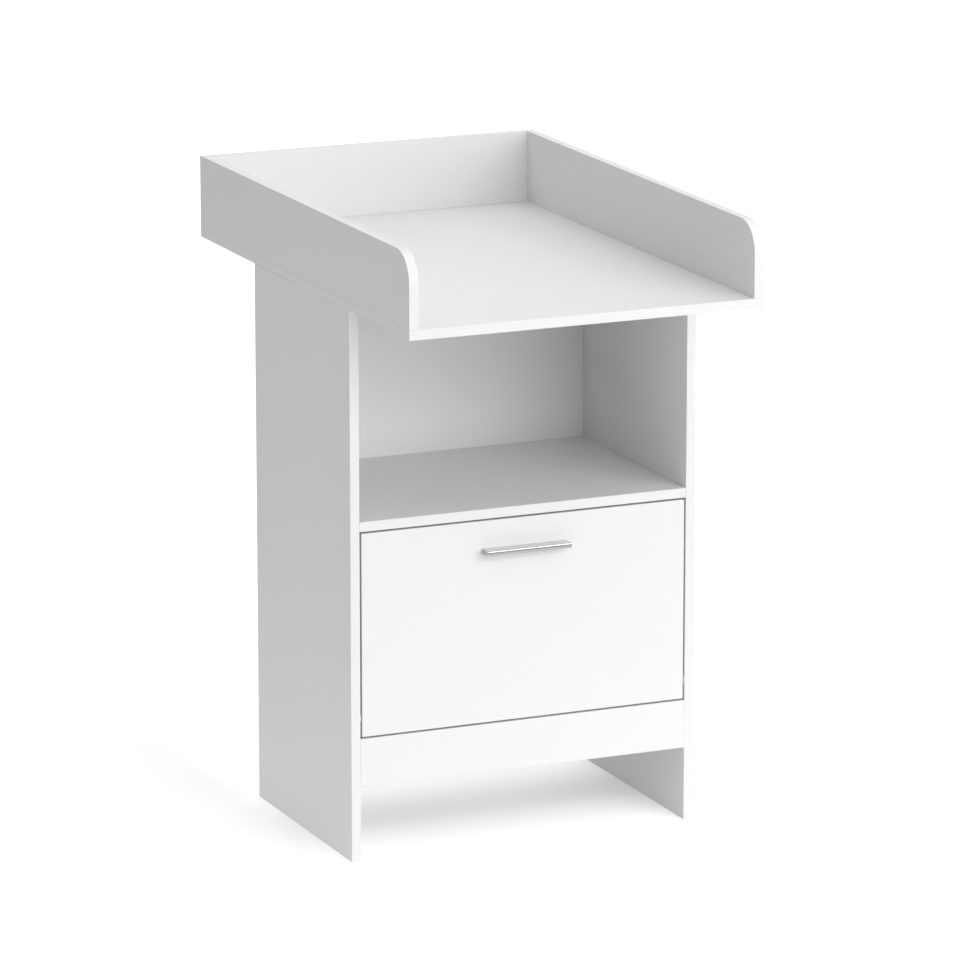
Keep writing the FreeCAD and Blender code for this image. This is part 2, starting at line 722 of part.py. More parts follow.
def stay_rod():
    """Right-hand rod with a flat eye at the flap's end and its stop nut at the other."""
    eye_point = Vector(rod_x, eye_y, eye_z)
    eye_start = eye_point - X * (eye_thick / 2)
    eye = rod(eye_diameter, eye_start, X, eye_thick)
    shaft = rod(rod_diameter, eye_point + rod_way * (eye_diameter / 4), rod_way,
                rod_length - eye_diameter / 4)
    hole = rod(eye_pin + 2 * fixing_play, eye_start - X * run_out, X, eye_thick + 2 * run_out)
    return eye.fuse(shaft).removeSplitter().cut(hole)


def stay_stop():
    """Right-hand stop nut on the rod's end, which meets the guide when the flap is open."""
    start = Vector(rod_x, eye_y, eye_z) + rod_way * stop_start
    nut = flatted([(stop_flats / 2, 0), (stop_flats / 2, stop_length)], start, rod_way)
    bore = rod(rod_diameter + 2 * fixing_play, start - rod_way * run_out, rod_way,
               stop_length + 2 * run_out)
    return nut.cut(bore)


def stud_profile(play):
    """Half section of the swivel stud, or, with play, of the socket that snaps over it."""
    shank = stud_diameter / 2 + play
    head = stud_head / 2 + play
    end = stud_length + stud_head_thick + play
    return [(0, -play), (shank, -play), (shank, stud_length - play), (head, stud_length - play),
            (shank, end), (0, end)]


stud_foot = Vector(inner_half - sheet_steel, guide_y, guide_z)


def stay_base():
    """Right-hand base plate on the side panel, with the stud that the guide swivels on."""
    plate = block(inner_half - sheet_steel, inner_half, guide_y - base_width / 2,
                  guide_y + base_width / 2, guide_z - base_height / 2, guide_z + base_height / 2)
    plate = plate.makeChamfer(plate_corner, [edge for edge in plate.Edges if is_along(edge, X)])
    plate = plate.fuse(turned(stud_profile(0), stud_foot, X * -1)).removeSplitter()
    return cut_all(plate, holes(sunk_hole, stay_base_spots))


def stay_guide():
    """Right-hand guide: a block that the rod slides through, on a hub over the stud."""
    middle = Vector(rod_x, guide_y, guide_z)
    body = Part.makeBox(guide_width, guide_length, guide_width,
                        Vector(-guide_width / 2, -guide_length / 2, -guide_width / 2))
    body = body.makeChamfer(guide_bevel, [edge for edge in body.Edges if is_along(edge, Y)])
    body.Placement = FreeCAD.Placement(middle, FreeCAD.Rotation(Y, rod_way))
    hub_start = inner_half - sheet_steel - hub_gap
    hub = flatted([(guide_width / 2, 0), (guide_width / 2, hub_start - rod_x)],
                  Vector(hub_start, guide_y, guide_z), X * -1, turned_flat_count)
    bore = rod(rod_diameter + 2 * fixing_play, middle - rod_way * guide_length, rod_way,
               2 * guide_length)
    socket = turned(stud_profile(fixing_play), stud_foot, X * -1)
    thread = drilled(brake_screw + 2 * fixing_play, middle, rod_up, guide_width, turned_flat_count)
    return cut_all(body.fuse(hub).removeSplitter(), [bore, socket, thread])


def brake_knob():
    """Right-hand thumb screw that presses the lining on the rod and sets the brake."""
    tip = rod_diameter / 2 + brake_lining_gap
    seat = guide_width / 2 + hub_gap
    shank = brake_screw / 2
    head = brake_head / 2
    profile = [(shank, tip), (shank, seat), (head, seat), (head, seat + brake_head_thick)]
    return flatted(profile, Vector(rod_x, guide_y, guide_z), rod_up, turned_flat_count)


# ---------------------------------------------------------------- write the pieces
def write(name, solids):
    """Write one named piece, or a group of alike pieces, to its own file."""
    shape = solids[0] if len(solids) == 1 else Part.makeCompound(solids)
    for solid in shape.Solids:
        if not solid.isValid() or solid.Volume < 0.1:
            raise ValueError(name + " is not a sound solid")
    print(name, len(shape.Solids), round(shape.Volume, 1))
    shape.exportStep("parts/" + name + ".step")


def write_sides(name, shape):
    """Write a right-hand piece and its left-hand twin as two named pieces."""
    write(name + "_right", [shape])
    write(name + "_left", [mirrored(shape)])


os.makedirs("parts", exist_ok=True)

write_sides("side_panel", side_panel())
write("shelf", [shelf()])
write("base_panel", [base_panel()])
write("plinth", [plinth()])
write("back_panel", [back_panel()])
write("changing_board", [changing_board()])
write_sides("tray_rail", side_rail())
write("tray_rail_back", [back_rail()])

write("flap_panel", [flap_panel()])
write("handle", [handle()])
write("handle_screws", holes(handle_screw, handle_screw_spots))
write("pivot_pins", pair(pivot_pin()))
write("pivot_bushes", pair(pivot_bush()))

write("catch_housings", pair(catch_housing()))
write("catch_magnets", pair(magnet_shape(0)))
write("catch_screws", both_sides(holes(sunk_screw, catch_spots)))
write("strike_plates", pair(strike_plate()))
write("strike_screws", both_sides(holes(sunk_screw, strike_spots, strike_screw_length)))

write_sides("stay_lug", stay_lug())
write("stay_lug_screws", both_sides(holes(sunk_screw, stay_lug_spots)))
write("stay_pins", pair(stay_pin()))
write_sides("stay_rod", stay_rod())
write_sides("stay_stop", stay_stop())
write_sides("stay_base", stay_base())
write("stay_base_screws", both_sides(holes(sunk_screw, stay_base_spots)))
write_sides("stay_guide", stay_guide())
write_sides("brake_knob", brake_knob())

panel_dowels = shelf_dowels + base_dowels + plinth_dowels + tray_dowels
write("cabinet_dowels", both_sides(holes(dowel, panel_dowels)) + holes(dowel, tie_dowels))
write("rail_dowels", both_sides(holes(dowel, rail_dowels + corner_dowels))
      + holes(dowel, back_rail_dowels))
write("cam_bolts", both_sides(holes(cam_bolt, shelf_cams + base_cams + plinth_cams)))
write("cam_housings", both_sides(holes(cam, shelf_cams + base_cams, Z * -1)
                                 + holes(cam, plinth_cams, Y)))
write("tray_screws", both_sides(holes(joint_screw, tray_screws)))
write("rail_screws", both_sides(holes(joint_screw, rail_screws))
      + holes(joint_screw, back_rail_screws))
write("back_nails", both_sides(holes(nail, side_nails)) + holes(nail, base_nails + shelf_nails))
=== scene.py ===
"""Looks of the changing dresser: coated boards, metal handle, brake stays, catches and fixings.

Every length is in metres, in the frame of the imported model: X right, Y back and Z up.
"""
import json

import bpy
import numpy as np
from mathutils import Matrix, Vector
from mathutils.geometry import tessellate_polygon


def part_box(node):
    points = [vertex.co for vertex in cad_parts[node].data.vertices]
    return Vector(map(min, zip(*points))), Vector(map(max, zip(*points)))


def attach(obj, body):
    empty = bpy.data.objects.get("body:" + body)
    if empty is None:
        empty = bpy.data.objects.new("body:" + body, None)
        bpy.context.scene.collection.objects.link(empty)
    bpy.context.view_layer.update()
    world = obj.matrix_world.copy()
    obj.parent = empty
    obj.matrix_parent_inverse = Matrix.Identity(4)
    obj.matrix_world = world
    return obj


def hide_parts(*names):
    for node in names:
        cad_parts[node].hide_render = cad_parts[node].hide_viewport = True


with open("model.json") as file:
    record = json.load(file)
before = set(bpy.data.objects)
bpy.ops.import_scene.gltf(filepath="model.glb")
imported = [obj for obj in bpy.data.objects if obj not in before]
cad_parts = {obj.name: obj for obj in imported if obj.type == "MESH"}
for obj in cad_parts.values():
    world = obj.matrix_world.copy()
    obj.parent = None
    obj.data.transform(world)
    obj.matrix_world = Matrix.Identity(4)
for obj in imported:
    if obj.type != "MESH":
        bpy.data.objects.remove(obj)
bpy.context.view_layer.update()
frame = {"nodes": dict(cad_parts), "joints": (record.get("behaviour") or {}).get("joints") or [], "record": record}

MM = 0.001
RIGHT, _, UP = np.eye(3)


# ---------------- places read from the frame
def box(node):
    """Lowest and highest corner of a node, as arrays."""
    low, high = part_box(node)
    return np.array(low), np.array(high)


def new_object(name, data):
    """Object in the scene for a mesh, a light or a camera."""
    made = bpy.data.objects.new(name, data)
    bpy.context.scene.collection.objects.link(made)
    return made


def points_of(node):
    """Corners of a node's mesh, one row each."""
    mesh = frame["nodes"][node].data
    points = np.empty(len(mesh.vertices) * 3)
    mesh.vertices.foreach_get("co", points)
    return points.reshape(-1, 3)


def solids(node):
    """Boxes of the separate solids of a node: triangles that share a corner belong together."""
    points = points_of(node)
    _, corner = np.unique(np.round(points, 7), axis=0, return_inverse=True)
    loops = frame["nodes"][node].data.loops
    triangles = np.empty(len(loops), int)
    loops.foreach_get("vertex_index", triangles)
    triangles = corner.reshape(-1)[triangles].reshape(-1, 3)
    group = np.arange(corner.max() + 1)
    while True:
        lowest = group[triangles].min(axis=1)
        after = group.copy()
        np.minimum.at(after, triangles.ravel(), np.repeat(lowest, 3))
        if (after == group).all():
            break
        group = after
    group = group[corner.reshape(-1)]
    members = [points[group == one] for one in np.unique(group)]
    return [(part.min(axis=0), part.max(axis=0)) for part in members]


def right_hand(node):
    """Box of the solid of a node that lies farthest to the right."""
    return max(solids(node), key=lambda ends: ends[0][0])


def reach(node, start, way):
    """Nearest and farthest that a node's points lie from a start, along a direction."""
    along = (points_of(node) - start) @ way
    return along.min(), along.max()


def joint_place(name):
    """Point on a joint's axis."""
    return np.array([joint["pos_m"] for joint in frame["joints"] if joint["name"] == name][0])


# ---------------- surfaces
# A shell is a closed surface: its points, and its faces as arrays of corner numbers, one array
# for each number of corners.
def grid(points, closed_rows=False, start_cap=True, end_cap=True):
    """Shell over a grid of rows by columns, where each row is a ring.  Face (i, j) joins the
    points (i, j), (i, j+1), (i+1, j+1) and (i+1, j).  Rows that close on themselves make a tube
    with a hole; otherwise the first and the last ring are filled."""
    rows, columns = points.shape[:2]
    index = np.arange(rows * columns).reshape(rows, columns)
    right = np.roll(index, -1, axis=1)
    ahead = np.roll(index, -1, axis=0)
    quads = np.stack([index, right, np.roll(ahead, -1, axis=1), ahead], axis=-1)
    quads = quads if closed_rows else quads[:-1]
    faces = [quads.reshape(-1, 4)]
    if start_cap and not closed_rows:
        faces.append(index[:1, ::-1])
    if end_cap and not closed_rows:
        faces.append(index[-1:])
    return points.reshape(-1, 3), faces


def together(*shells):
    """Several shells as one."""
    starts = np.cumsum([0] + [len(points) for points, _ in shells])
    points = np.concatenate([points for points, _ in shells])
    return points, [face + start for (_, faces), start in zip(shells, starts) for face in faces]


WELD = 0.0001 * MM       # distance within which points are made one


def joined(shell):
    """Shell with the points that lie on each other made one."""
    points, faces = shell
    _, first, where = np.unique(np.round(points / WELD).astype(int), axis=0, return_index=True,
                                return_inverse=True)
    return points[first], [where.reshape(-1)[face] for face in faces]


def mirror(shell):
    """The left-hand twin of a right-hand shell: x changes sign and the faces turn round."""
    return shell[0] * [-1, 1, 1], [face[:, ::-1] for face in shell[1]]


def stand(shell, start, way):
    """Shell that was made along Z, turned along a direction and put at a point."""
    turn = np.array(Vector(way).to_track_quat("Z", "Y").to_matrix())
    return shell[0] @ turn.T + start, shell[1]


def rounded(corners, radii, steps=5, closed=True):
    """Flat outline with an arc at each corner, and its outward normals.  With n0 and n1 the
    normals before and after a corner, the arc's centre lies r / cos(turn / 2) from the corner
    against n0 + n1, and its points are centre + r n, with n turned evenly from n0 to n1.  The
    corners may have rows of outlines before them."""
    corners = np.array(corners, float)
    radii = np.broadcast_to(np.asarray(radii, float), corners.shape[:-1])[..., None, None]
    before = corners - np.roll(corners, 1, axis=-2)
    after = np.roll(before, -1, axis=-2)
    start = np.arctan2(before[..., 1], before[..., 0])
    turn = (np.arctan2(after[..., 1], after[..., 0]) - start + np.pi) % (2 * np.pi) - np.pi
    angle = start[..., None] + turn[..., None] * np.linspace(0, 1, steps + 1)
    normals = np.stack([np.sin(angle), -np.cos(angle)], axis=-1)
    middle = (start + turn / 2)[..., None]
    bisector = np.stack([np.sin(middle), -np.cos(middle)], axis=-1)
    side = np.sign(turn)[..., None, None]
    centres = corners[..., None, :] - side * radii / np.cos(turn / 2)[..., None, None] * bisector
    points = centres + side * radii * normals
    if not closed:
        first, last = normals[1, :1], normals[-2, -1:]
        points = np.concatenate([corners[:1], points[1:-1].reshape(-1, 2), corners[-1:]])
        normals = np.concatenate([first, normals[1:-1].reshape(-1, 2), last])
    flat = corners.shape[:-2] + (-1, 2)
    return points.reshape(flat), normals.reshape(flat)


def placed(flat, height, axis):
    """Points of a plane across an axis, at a height along it."""
    place = np.empty(flat.shape[:-1] + (3,))
    place[..., (axis + 1) % 3] = flat[..., 0]
    place[..., (axis + 2) % 3] = flat[..., 1]
    place[..., axis] = height
    return place


def slab(outline, axis, start, end, ease, steps=3, holes=(), sides=(-1,)):
    """Outline carried along an axis from start to end, with both rims rounded: a ring at the
    angle p of the rim is moved in by ease (1 - cos p) and along by ease sin p.  Holes are given
    as centre, radius and depth, and open on each of the sides: -1 the start, 1 the end."""
    points, normals = outline
    low = np.linspace(-np.pi / 2, 0, steps + 1)
    rim = np.concatenate([low, low + np.pi / 2])[:, None]
    base = np.repeat([start + ease, end - ease], steps + 1)[:, None]
    rings = points - (ease * (1 - np.cos(rim)))[..., None] * normals
    height = np.broadcast_to(base + ease * np.sin(rim), rings.shape[:2])
    sides = sides if len(holes) else ()
    body = grid(placed(rings, height, axis), start_cap=-1 not in sides, end_cap=1 not in sides)
    shells = [body]
    for side in sides:
        face, edge = (start, 0) if side < 0 else (end, -1)
        shells += drilled_face(rings[edge], holes, axis, face, side)
    return joined(together(*shells)) if sides else body


SLIVER = 1e-14           # area in square metres under which a triangle is left out


def drilled_face(edge, holes, axis, face, side, sides=32, ease=0.15 * MM):
    """End face with holes: the flat face is triangulated between its edge and the holes' mouths,
    and each hole is a short chamfer, a wall and a floor."""
    angle = np.arange(sides) / sides * 2 * np.pi
    circle = np.stack([np.cos(angle), np.sin(angle)], axis=-1)
    mouths = [centre + (radius + ease) * circle for centre, radius, _ in holes]
    loops = [edge] + mouths
    corners = np.concatenate(loops)
    flat = np.array(tessellate_polygon([[(x, y, 0) for x, y in loop.tolist()] for loop in loops]))
    one, two, three = (corners[flat[:, k]] for k in range(3))
    area = np.cross(two - one, three - one)
    real = np.abs(area) > SLIVER
    flat, flip = flat[real], np.sign(area[real]) != side
    flat[flip] = flat[flip][:, ::-1]
    shells = [(placed(corners, face, axis), [flat])]
    for centre, radius, depth in holes:
        flat_rings = np.stack([centre + (radius + wide) * circle for wide in (ease, 0, 0)])
        height = face - side * np.array([[0], [ease], [depth]])
        points = placed(flat_rings, np.broadcast_to(height, flat_rings.shape[:2]), axis)
        points = points[:, ::-1] if side < 0 else points
        shells.append(grid(points, start_cap=False))
    return shells


def block(low, high, axis, radii, ease, steps=5, **drilling):
    """Box with rounded corners as seen along an axis, and rounded rims.  The corners go
    counter-clockwise from the lowest."""
    u, v = (axis + 1) % 3, (axis + 2) % 3
    corners = [(low[u], low[v]), (high[u], low[v]), (high[u], high[v]), (low[u], high[v])]
    return slab(rounded(corners, radii, steps), axis, low[axis], high[axis], ease, **drilling)


def turned(profile, start, way, sides=40, hollow=False):
    """Solid of revolution: point (i, j) lies at radius profile[i, 0] and angle 2 pi j / sides
    round the axis, and at profile[i, 1] along it."""
    angle = np.arange(sides) / sides * 2 * np.pi
    radius = profile[:, :1]
    height = np.broadcast_to(profile[:, 1:], (len(profile), sides))
    points = np.stack([radius * np.cos(angle), radius * np.sin(angle), height], axis=-1)
    return stand(grid(points, closed_rows=hollow), start, way)


TIP = 0.2 * MM           # radius at which the ends of a turned piece are filled


def peg(radius, start, end, ease):
    """Side view of a round peg between two heights, with rounded rims."""
    corners = [(TIP, start), (radius, start), (radius, end), (TIP, end)]
    return rounded(corners, ease, closed=False)[0]


def soft_step(value):
    """0 below 0 and 1 above 1, with a smooth rise 3t^2 - 2t^3 between."""
    value = np.clip(value, 0, 1)
    return value * value * (3 - 2 * value)


# ---------------- shader node groups
def add(nodes, kind, **inputs):
    """New shader node with some of its inputs set."""
    node = nodes.new(kind)
    for name, value in inputs.items():
        node.inputs[name.replace("_", " ")].default_value = value
    return node


def new_group(name, inputs, outputs):
    """Empty shader node group with named inputs and outputs."""
    group = bpy.data.node_groups.new(name, "ShaderNodeTree")
    for label, kind, value in inputs:
        socket = group.interface.new_socket(label, in_out="INPUT", socket_type="NodeSocket" + kind)
        if value is not None:
            socket.default_value = value
    for label, kind in outputs:
        group.interface.new_socket(label, in_out="OUTPUT", socket_type="NodeSocket" + kind)
    return group, group.nodes.new("NodeGroupInput"), group.nodes.new("NodeGroupOutput")


def math_node(tree, operation, *values):
    """Math node fed with numbers or sockets; gives its result."""
    node = tree.nodes.new("ShaderNodeMath")
    node.operation = operation
    for socket, value in zip(node.inputs, values):
        if isinstance(value, (int, float)):
            socket.default_value = value
        else:
            tree.links.new(value, socket)
    return node.outputs[0]


def swing(tree, noise, strength):
    """Noise made to swing round zero, times a strength."""
    return math_node(tree, "MULTIPLY", math_node(tree, "SUBTRACT", noise, 0.5), strength)


def make_mottle():
    """Slow drift and fine speckle of a tone as a factor near 1, and the speckle as a height."""
    group, given, out = new_group(
        "mottle",
        [("Position", "Vector", None), ("Drift Scale", "Float", 3.0), ("Drift", "Float", 0.01),
         ("Grain Scale", "Float", 900.0), ("Grain", "Float", 0.01)],
        [("Tone", "Float"), ("Height", "Float")])
    nodes, links = group.nodes, group.links
    drift = add(nodes, "ShaderNodeTexNoise", Detail=2.0)
    grain = add(nodes, "ShaderNodeTexNoise", Detail=3.0)
    for texture, scale in ((drift, "Drift Scale"), (grain, "Grain Scale")):
        links.new(given.outputs["Position"], texture.inputs["Vector"])
        links.new(given.outputs[scale], texture.inputs["Scale"])
    slow = swing(group, drift.outputs[0], given.outputs["Drift"])
    fine = swing(group, grain.outputs[0], given.outputs["Grain"])
    change = math_node(group, "ADD", slow, fine)
    links.new(math_node(group, "ADD", change, 1.0), out.inputs["Tone"])
    links.new(grain.outputs[0], out.inputs["Height"])
    return group


def make_streaks():
    """Fine lines along one direction, as on brushed metal or wood: noise that is drawn out."""
    group, given, out = new_group(
        "streaks",
        [("Position", "Vector", None), ("Stretch", "Vector", (1.0, 40.0, 40.0)),
         ("Scale", "Float", 60.0), ("Strength", "Float", 0.1)],
        [("Tone", "Float"), ("Height", "Float")])
    nodes, links = group.nodes, group.links
    stretch = nodes.new("ShaderNodeVectorMath")
    stretch.operation = "MULTIPLY"
    links.new(given.outputs["Position"], stretch.inputs[0])
    links.new(given.outputs["Stretch"], stretch.inputs[1])
    lines = add(nodes, "ShaderNodeTexNoise", Detail=4.0, Roughness=0.6)
    links.new(stretch.outputs[0], lines.inputs["Vector"])
    links.new(given.outputs["Scale"], lines.inputs["Scale"])
    change = swing(group, lines.outputs[0], given.outputs["Strength"])
    links.new(math_node(group, "ADD", change, 1.0), out.inputs["Tone"])
    links.new(lines.outputs[0], out.inputs["Height"])
    return group


def make_tinted():
    """A colour multiplied by a tone, with a second colour where a mask is 1."""
    group, given, out = new_group(
        "tinted",
        [("Colour", "Color", (0.8, 0.8, 0.8, 1)), ("Other", "Color", (0.8, 0.8, 0.8, 1)),
         ("Mask", "Float", 0.0), ("Tone", "Float", 1.0)],
        [("Colour", "Color")])
    nodes, links = group.nodes, group.links
    mix = nodes.new("ShaderNodeMix")
    mix.data_type = "RGBA"
    links.new(given.outputs["Mask"], mix.inputs["Factor"])
    links.new(given.outputs["Colour"], mix.inputs[6])
    links.new(given.outputs["Other"], mix.inputs[7])
    scale = nodes.new("ShaderNodeVectorMath")
    scale.operation = "SCALE"
    links.new(mix.outputs[2], scale.inputs[0])
    links.new(given.outputs["Tone"], scale.inputs["Scale"])
    links.new(scale.outputs[0], out.inputs["Colour"])
    return group


MOTTLE = make_mottle()
STREAKS = make_streaks()
TINTED = make_tinted()


# ---------------- materials
class Finish:
    """A material under way: its tree of nodes and links, and its shader."""

    def __init__(self, name, **sockets):
        self.material = bpy.data.materials.new(name)
        self.material.use_nodes = True
        self.tree = self.material.node_tree
        self.nodes, self.links = self.tree.nodes, self.tree.links
        self.shader = self.nodes["Principled BSDF"]
        for socket, value in sockets.items():
            self.shader.inputs[socket.replace("_", " ")].default_value = value
        self.place = self.nodes.new("ShaderNodeTexCoord").outputs["Object"]

    def group(self, tree, **values):
        """One of the shared effects, fed with sockets or numbers."""
        node = self.nodes.new("ShaderNodeGroup")
        node.node_tree = tree
        for name, value in values.items():
            socket = node.inputs[name.replace("_", " ")]
            if isinstance(value, bpy.types.NodeSocket):
                self.links.new(value, socket)
            else:
                socket.default_value = value
        return node.outputs

    def coordinate(self, axis):
        """Place along X, Y or Z."""
        apart = self.nodes.new("ShaderNodeSeparateXYZ")
        self.links.new(self.place, apart.inputs[0])
        return apart.outputs[axis]

    def math(self, operation, *values):
        """Result of a math node."""
        return math_node(self.tree, operation, *values)

    def spread(self, value, low, high, floor=0.3, top=0.7, interpolation="LINEAR"):
        """Value between floor and top carried over to low and high."""
        node = add(self.nodes, "ShaderNodeMapRange", From_Min=floor, From_Max=top, To_Min=low,
                   To_Max=high)
        node.interpolation_type = interpolation
        self.links.new(value, node.inputs["Value"])
        return node.outputs[0]

    def bump(self, height, depth, strength=1.0):
        """Relief of the given depth in metres."""
        node = add(self.nodes, "ShaderNodeBump", Distance=depth, Strength=strength)
        self.links.new(height, node.inputs["Height"])
        self.links.new(node.outputs[0], self.shader.inputs["Normal"])

    def wire(self, **sockets):
        """Feed the shader's sockets."""
        for name, value in sockets.items():
            self.links.new(value, self.shader.inputs[name.replace("_", " ")])
        return self.material

    def dressed(self, colour, tone, height, depth, strength, smoothest, roughest):
        """Material with a colour times a tone, and a relief and roughness that follow a height."""
        tinted = self.group(TINTED, Colour=colour, Tone=tone)
        self.bump(height, depth, strength)
        return self.wire(Base_Color=tinted["Colour"],
                         Roughness=self.spread(height, smoothest, roughest))


def white_board():
    """Chipboard with a satin white coating, fine pearl grain and smoother edge bands.  The
    attribute edge_band is 1 on the bands, and the glue line shows where it is about one half."""
    finish = Finish("white_board", Roughness=0.42, IOR=1.46, Specular_IOR_Level=0.4)
    pearl = finish.group(MOTTLE, Position=finish.place, Drift_Scale=2.4, Drift=0.012,
                         Grain_Scale=1100.0, Grain=0.012)
    band = finish.nodes.new("ShaderNodeAttribute")
    band.attribute_name = "edge_band"
    across = finish.math("ABSOLUTE", finish.math("SUBTRACT", band.outputs["Fac"], 0.5))
    line = finish.spread(across, 1.0, 0.0, 0.02, 0.12)
    tone = finish.group(TINTED, Colour=(0.780, 0.781, 0.783, 1), Other=(0.62, 0.62, 0.62, 1),
                        Mask=finish.math("MULTIPLY", line, 0.5), Tone=pearl["Tone"])
    rough = finish.spread(pearl["Height"], 0.38, 0.50)
    rough = finish.math("SUBTRACT", rough, finish.math("MULTIPLY", band.outputs["Fac"], 0.08))
    smooth = finish.math("SUBTRACT", 1.0, finish.math("MULTIPLY", band.outputs["Fac"], 0.7))
    finish.bump(finish.math("MULTIPLY", pearl["Height"], smooth), 0.00003, 0.35)
    return finish.wire(Base_Color=tone["Colour"], Roughness=rough)


def white_hardboard():
    """Thin back sheet: painted smooth in front, pale and fibrous behind."""
    finish = Finish("white_hardboard", Roughness=0.6, Specular_IOR_Level=0.3)
    low, high = box("back_panel")
    middle = (low[1] + high[1]) / 2
    behind = finish.spread(finish.coordinate("Y"), 0.0, 1.0, middle - 0.1 * MM,
                           middle + 0.1 * MM)
    fibre = finish.group(STREAKS, Position=finish.place, Stretch=(1.0, 1.0, 3.0), Scale=420.0,
                         Strength=0.10)
    paint = finish.group(MOTTLE, Position=finish.place, Drift_Scale=3.0, Drift=0.015,
                         Grain_Scale=700.0, Grain=0.01)
    change = finish.math("MULTIPLY", finish.math("SUBTRACT", fibre["Tone"], 1.0), behind)
    tone = finish.group(TINTED, Colour=(0.770, 0.771, 0.773, 1), Other=(0.72, 0.71, 0.69, 1),
                        Mask=behind, Tone=finish.math("ADD", paint["Tone"], change))
    finish.bump(fibre["Height"], 0.00006, 0.4)
    return finish.wire(Base_Color=tone["Colour"],
                       Roughness=finish.spread(paint["Height"], 0.52, 0.64))


def satin_metal():
    """Handle metal with fine brush lines along its length."""
    finish = Finish("satin_metal", Metallic=1.0, Roughness=0.2)
    lines = finish.group(STREAKS, Position=finish.place, Stretch=(1.0, 60.0, 60.0), Scale=40.0,
                         Strength=0.10)
    haze = finish.group(MOTTLE, Position=finish.place, Drift_Scale=30.0, Drift=0.04,
                        Grain_Scale=1500.0, Grain=0.02)
    tone = finish.math("MULTIPLY", lines["Tone"], haze["Tone"])
    return finish.dressed((0.62, 0.62, 0.63, 1), tone, lines["Height"], 0.00001, 0.25, 0.16, 0.24)


def zinc_steel():
    """Bright zinc plate with a faint cloudy bloom."""
    finish = Finish("zinc_steel", Metallic=1.0, Roughness=0.35)
    bloom = finish.group(MOTTLE, Position=finish.place, Drift_Scale=160.0, Drift=0.12,
                         Grain_Scale=2200.0, Grain=0.06)
    return finish.dressed((0.62, 0.65, 0.68, 1), bloom["Tone"], bloom["Height"], 0.00002, 0.3,
                          0.26, 0.46)


def moulded(name, colour, rough, grain):
    """Moulded plastic: an even colour with a fine eroded texture."""
    finish = Finish(name, Roughness=rough, Specular_IOR_Level=0.45)
    skin = finish.group(MOTTLE, Position=finish.place, Drift_Scale=60.0, Drift=0.03,
                        Grain_Scale=grain, Grain=0.03)
    return finish.dressed(colour, skin["Tone"], skin["Height"], 0.00003, 0.4, rough - 0.06,
                          rough + 0.08)


def magnet_steel():
    """Dark sintered magnet and its bare pole plates."""
    finish = Finish("magnet", Metallic=0.7, Roughness=0.45)
    cast = finish.group(MOTTLE, Position=finish.place, Drift_Scale=200.0, Drift=0.15,
                        Grain_Scale=1800.0, Grain=0.15)
    return finish.dressed((0.13, 0.13, 0.14, 1), cast["Tone"], cast["Height"], 0.00004, 0.4,
                          0.38, 0.56)


def beech():
    """Turned beech with straight fibres along X and small dark flecks."""
    finish = Finish("beech", Roughness=0.6)
    fibre = finish.group(STREAKS, Position=finish.place, Stretch=(1.0, 18.0, 18.0), Scale=90.0,
                         Strength=0.35)
    fleck = finish.group(MOTTLE, Position=finish.place, Drift_Scale=45.0, Drift=0.10,
                         Grain_Scale=900.0, Grain=0.06)
    tone = finish.math("MULTIPLY", fibre["Tone"], fleck["Tone"])
    return finish.dressed((0.62, 0.42, 0.24, 1), tone, fibre["Height"], 0.00005, 0.5, 0.52, 0.70)


FINISHES = {
    "white_board": white_board(),
    "white_hardboard": white_hardboard(),
    "satin_metal": satin_metal(),
    "zinc_steel": zinc_steel(),
    "nylon": moulded("nylon", (0.80, 0.80, 0.78, 1), 0.42, 1300.0),
    "grey_plastic": moulded("grey_plastic", (0.19, 0.20, 0.21, 1), 0.5, 1000.0),
    "magnet": magnet_steel(),
    "beech": beech(),
}
SLOT_OF = {part["node"]: part["material_slot"] for part in frame["record"]["subparts"]}
BODY_OF = {node: body for body, nodes in frame["record"]["behaviour"]["bodies"].items()
           for node in nodes}

for node, solid in frame["nodes"].items():
    solid.data.materials.clear()
    solid.data.materials.append(FINISHES[SLOT_OF[node]])


# ---------------- pieces
def vertex_normals(points, faces):
    """Each point's normal is the sum over its faces of half the cross products of the following
    corners.  That is the face's normal times its area, so that a wide face keeps its own normal
    right up to its rounded rim."""
    normals = np.zeros_like(points)
    for face in faces:
        corners = points[face]
        wide = np.cross(corners, np.roll(corners, -1, axis=1)).sum(axis=1)
        np.add.at(normals, face.ravel(), np.repeat(wide, face.shape[1], axis=0))
    return normals / np.linalg.norm(normals, axis=1, keepdims=True)


def piece(name, shell, node, thin_axis=None):
    """Object from a shell.  It stands for a node and takes that node's body, slot and finish.
    The attribute edge_band is 1 on the edges of a board that is thin along the given axis."""
    points, faces = shell
    mesh = bpy.data.meshes.new(name)
    mesh.from_pydata(points.tolist(), [], sum((face.tolist() for face in faces), []))
    mesh.polygons.foreach_set("use_smooth", np.ones(len(mesh.polygons), bool))
    normals = vertex_normals(points, faces)
    mesh.normals_split_custom_set_from_vertices(normals)
    if thin_axis is not None:
        band = mesh.attributes.new("edge_band", "FLOAT", "POINT")
        flatness = np.abs(normals[:, thin_axis])
        band.data.foreach_set("value", (1 - soft_step(flatness)).astype(np.float32))
    mesh.materials.append(FINISHES[SLOT_OF[node]])
    made = new_object(name, mesh)
    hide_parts(node)
    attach(made, BODY_OF[node])


def pair(name, shell, node):
    """A right-hand piece and its left-hand twin in one."""
    piece(name, together(shell, mirror(shell)), node)


def both(name, shell, node):
    """A right-hand piece and its left-hand twin, each with a node of its own."""
    piece(name + "_right", shell, node + "_right")
    piece(name + "_left", mirror(shell), node + "_left")


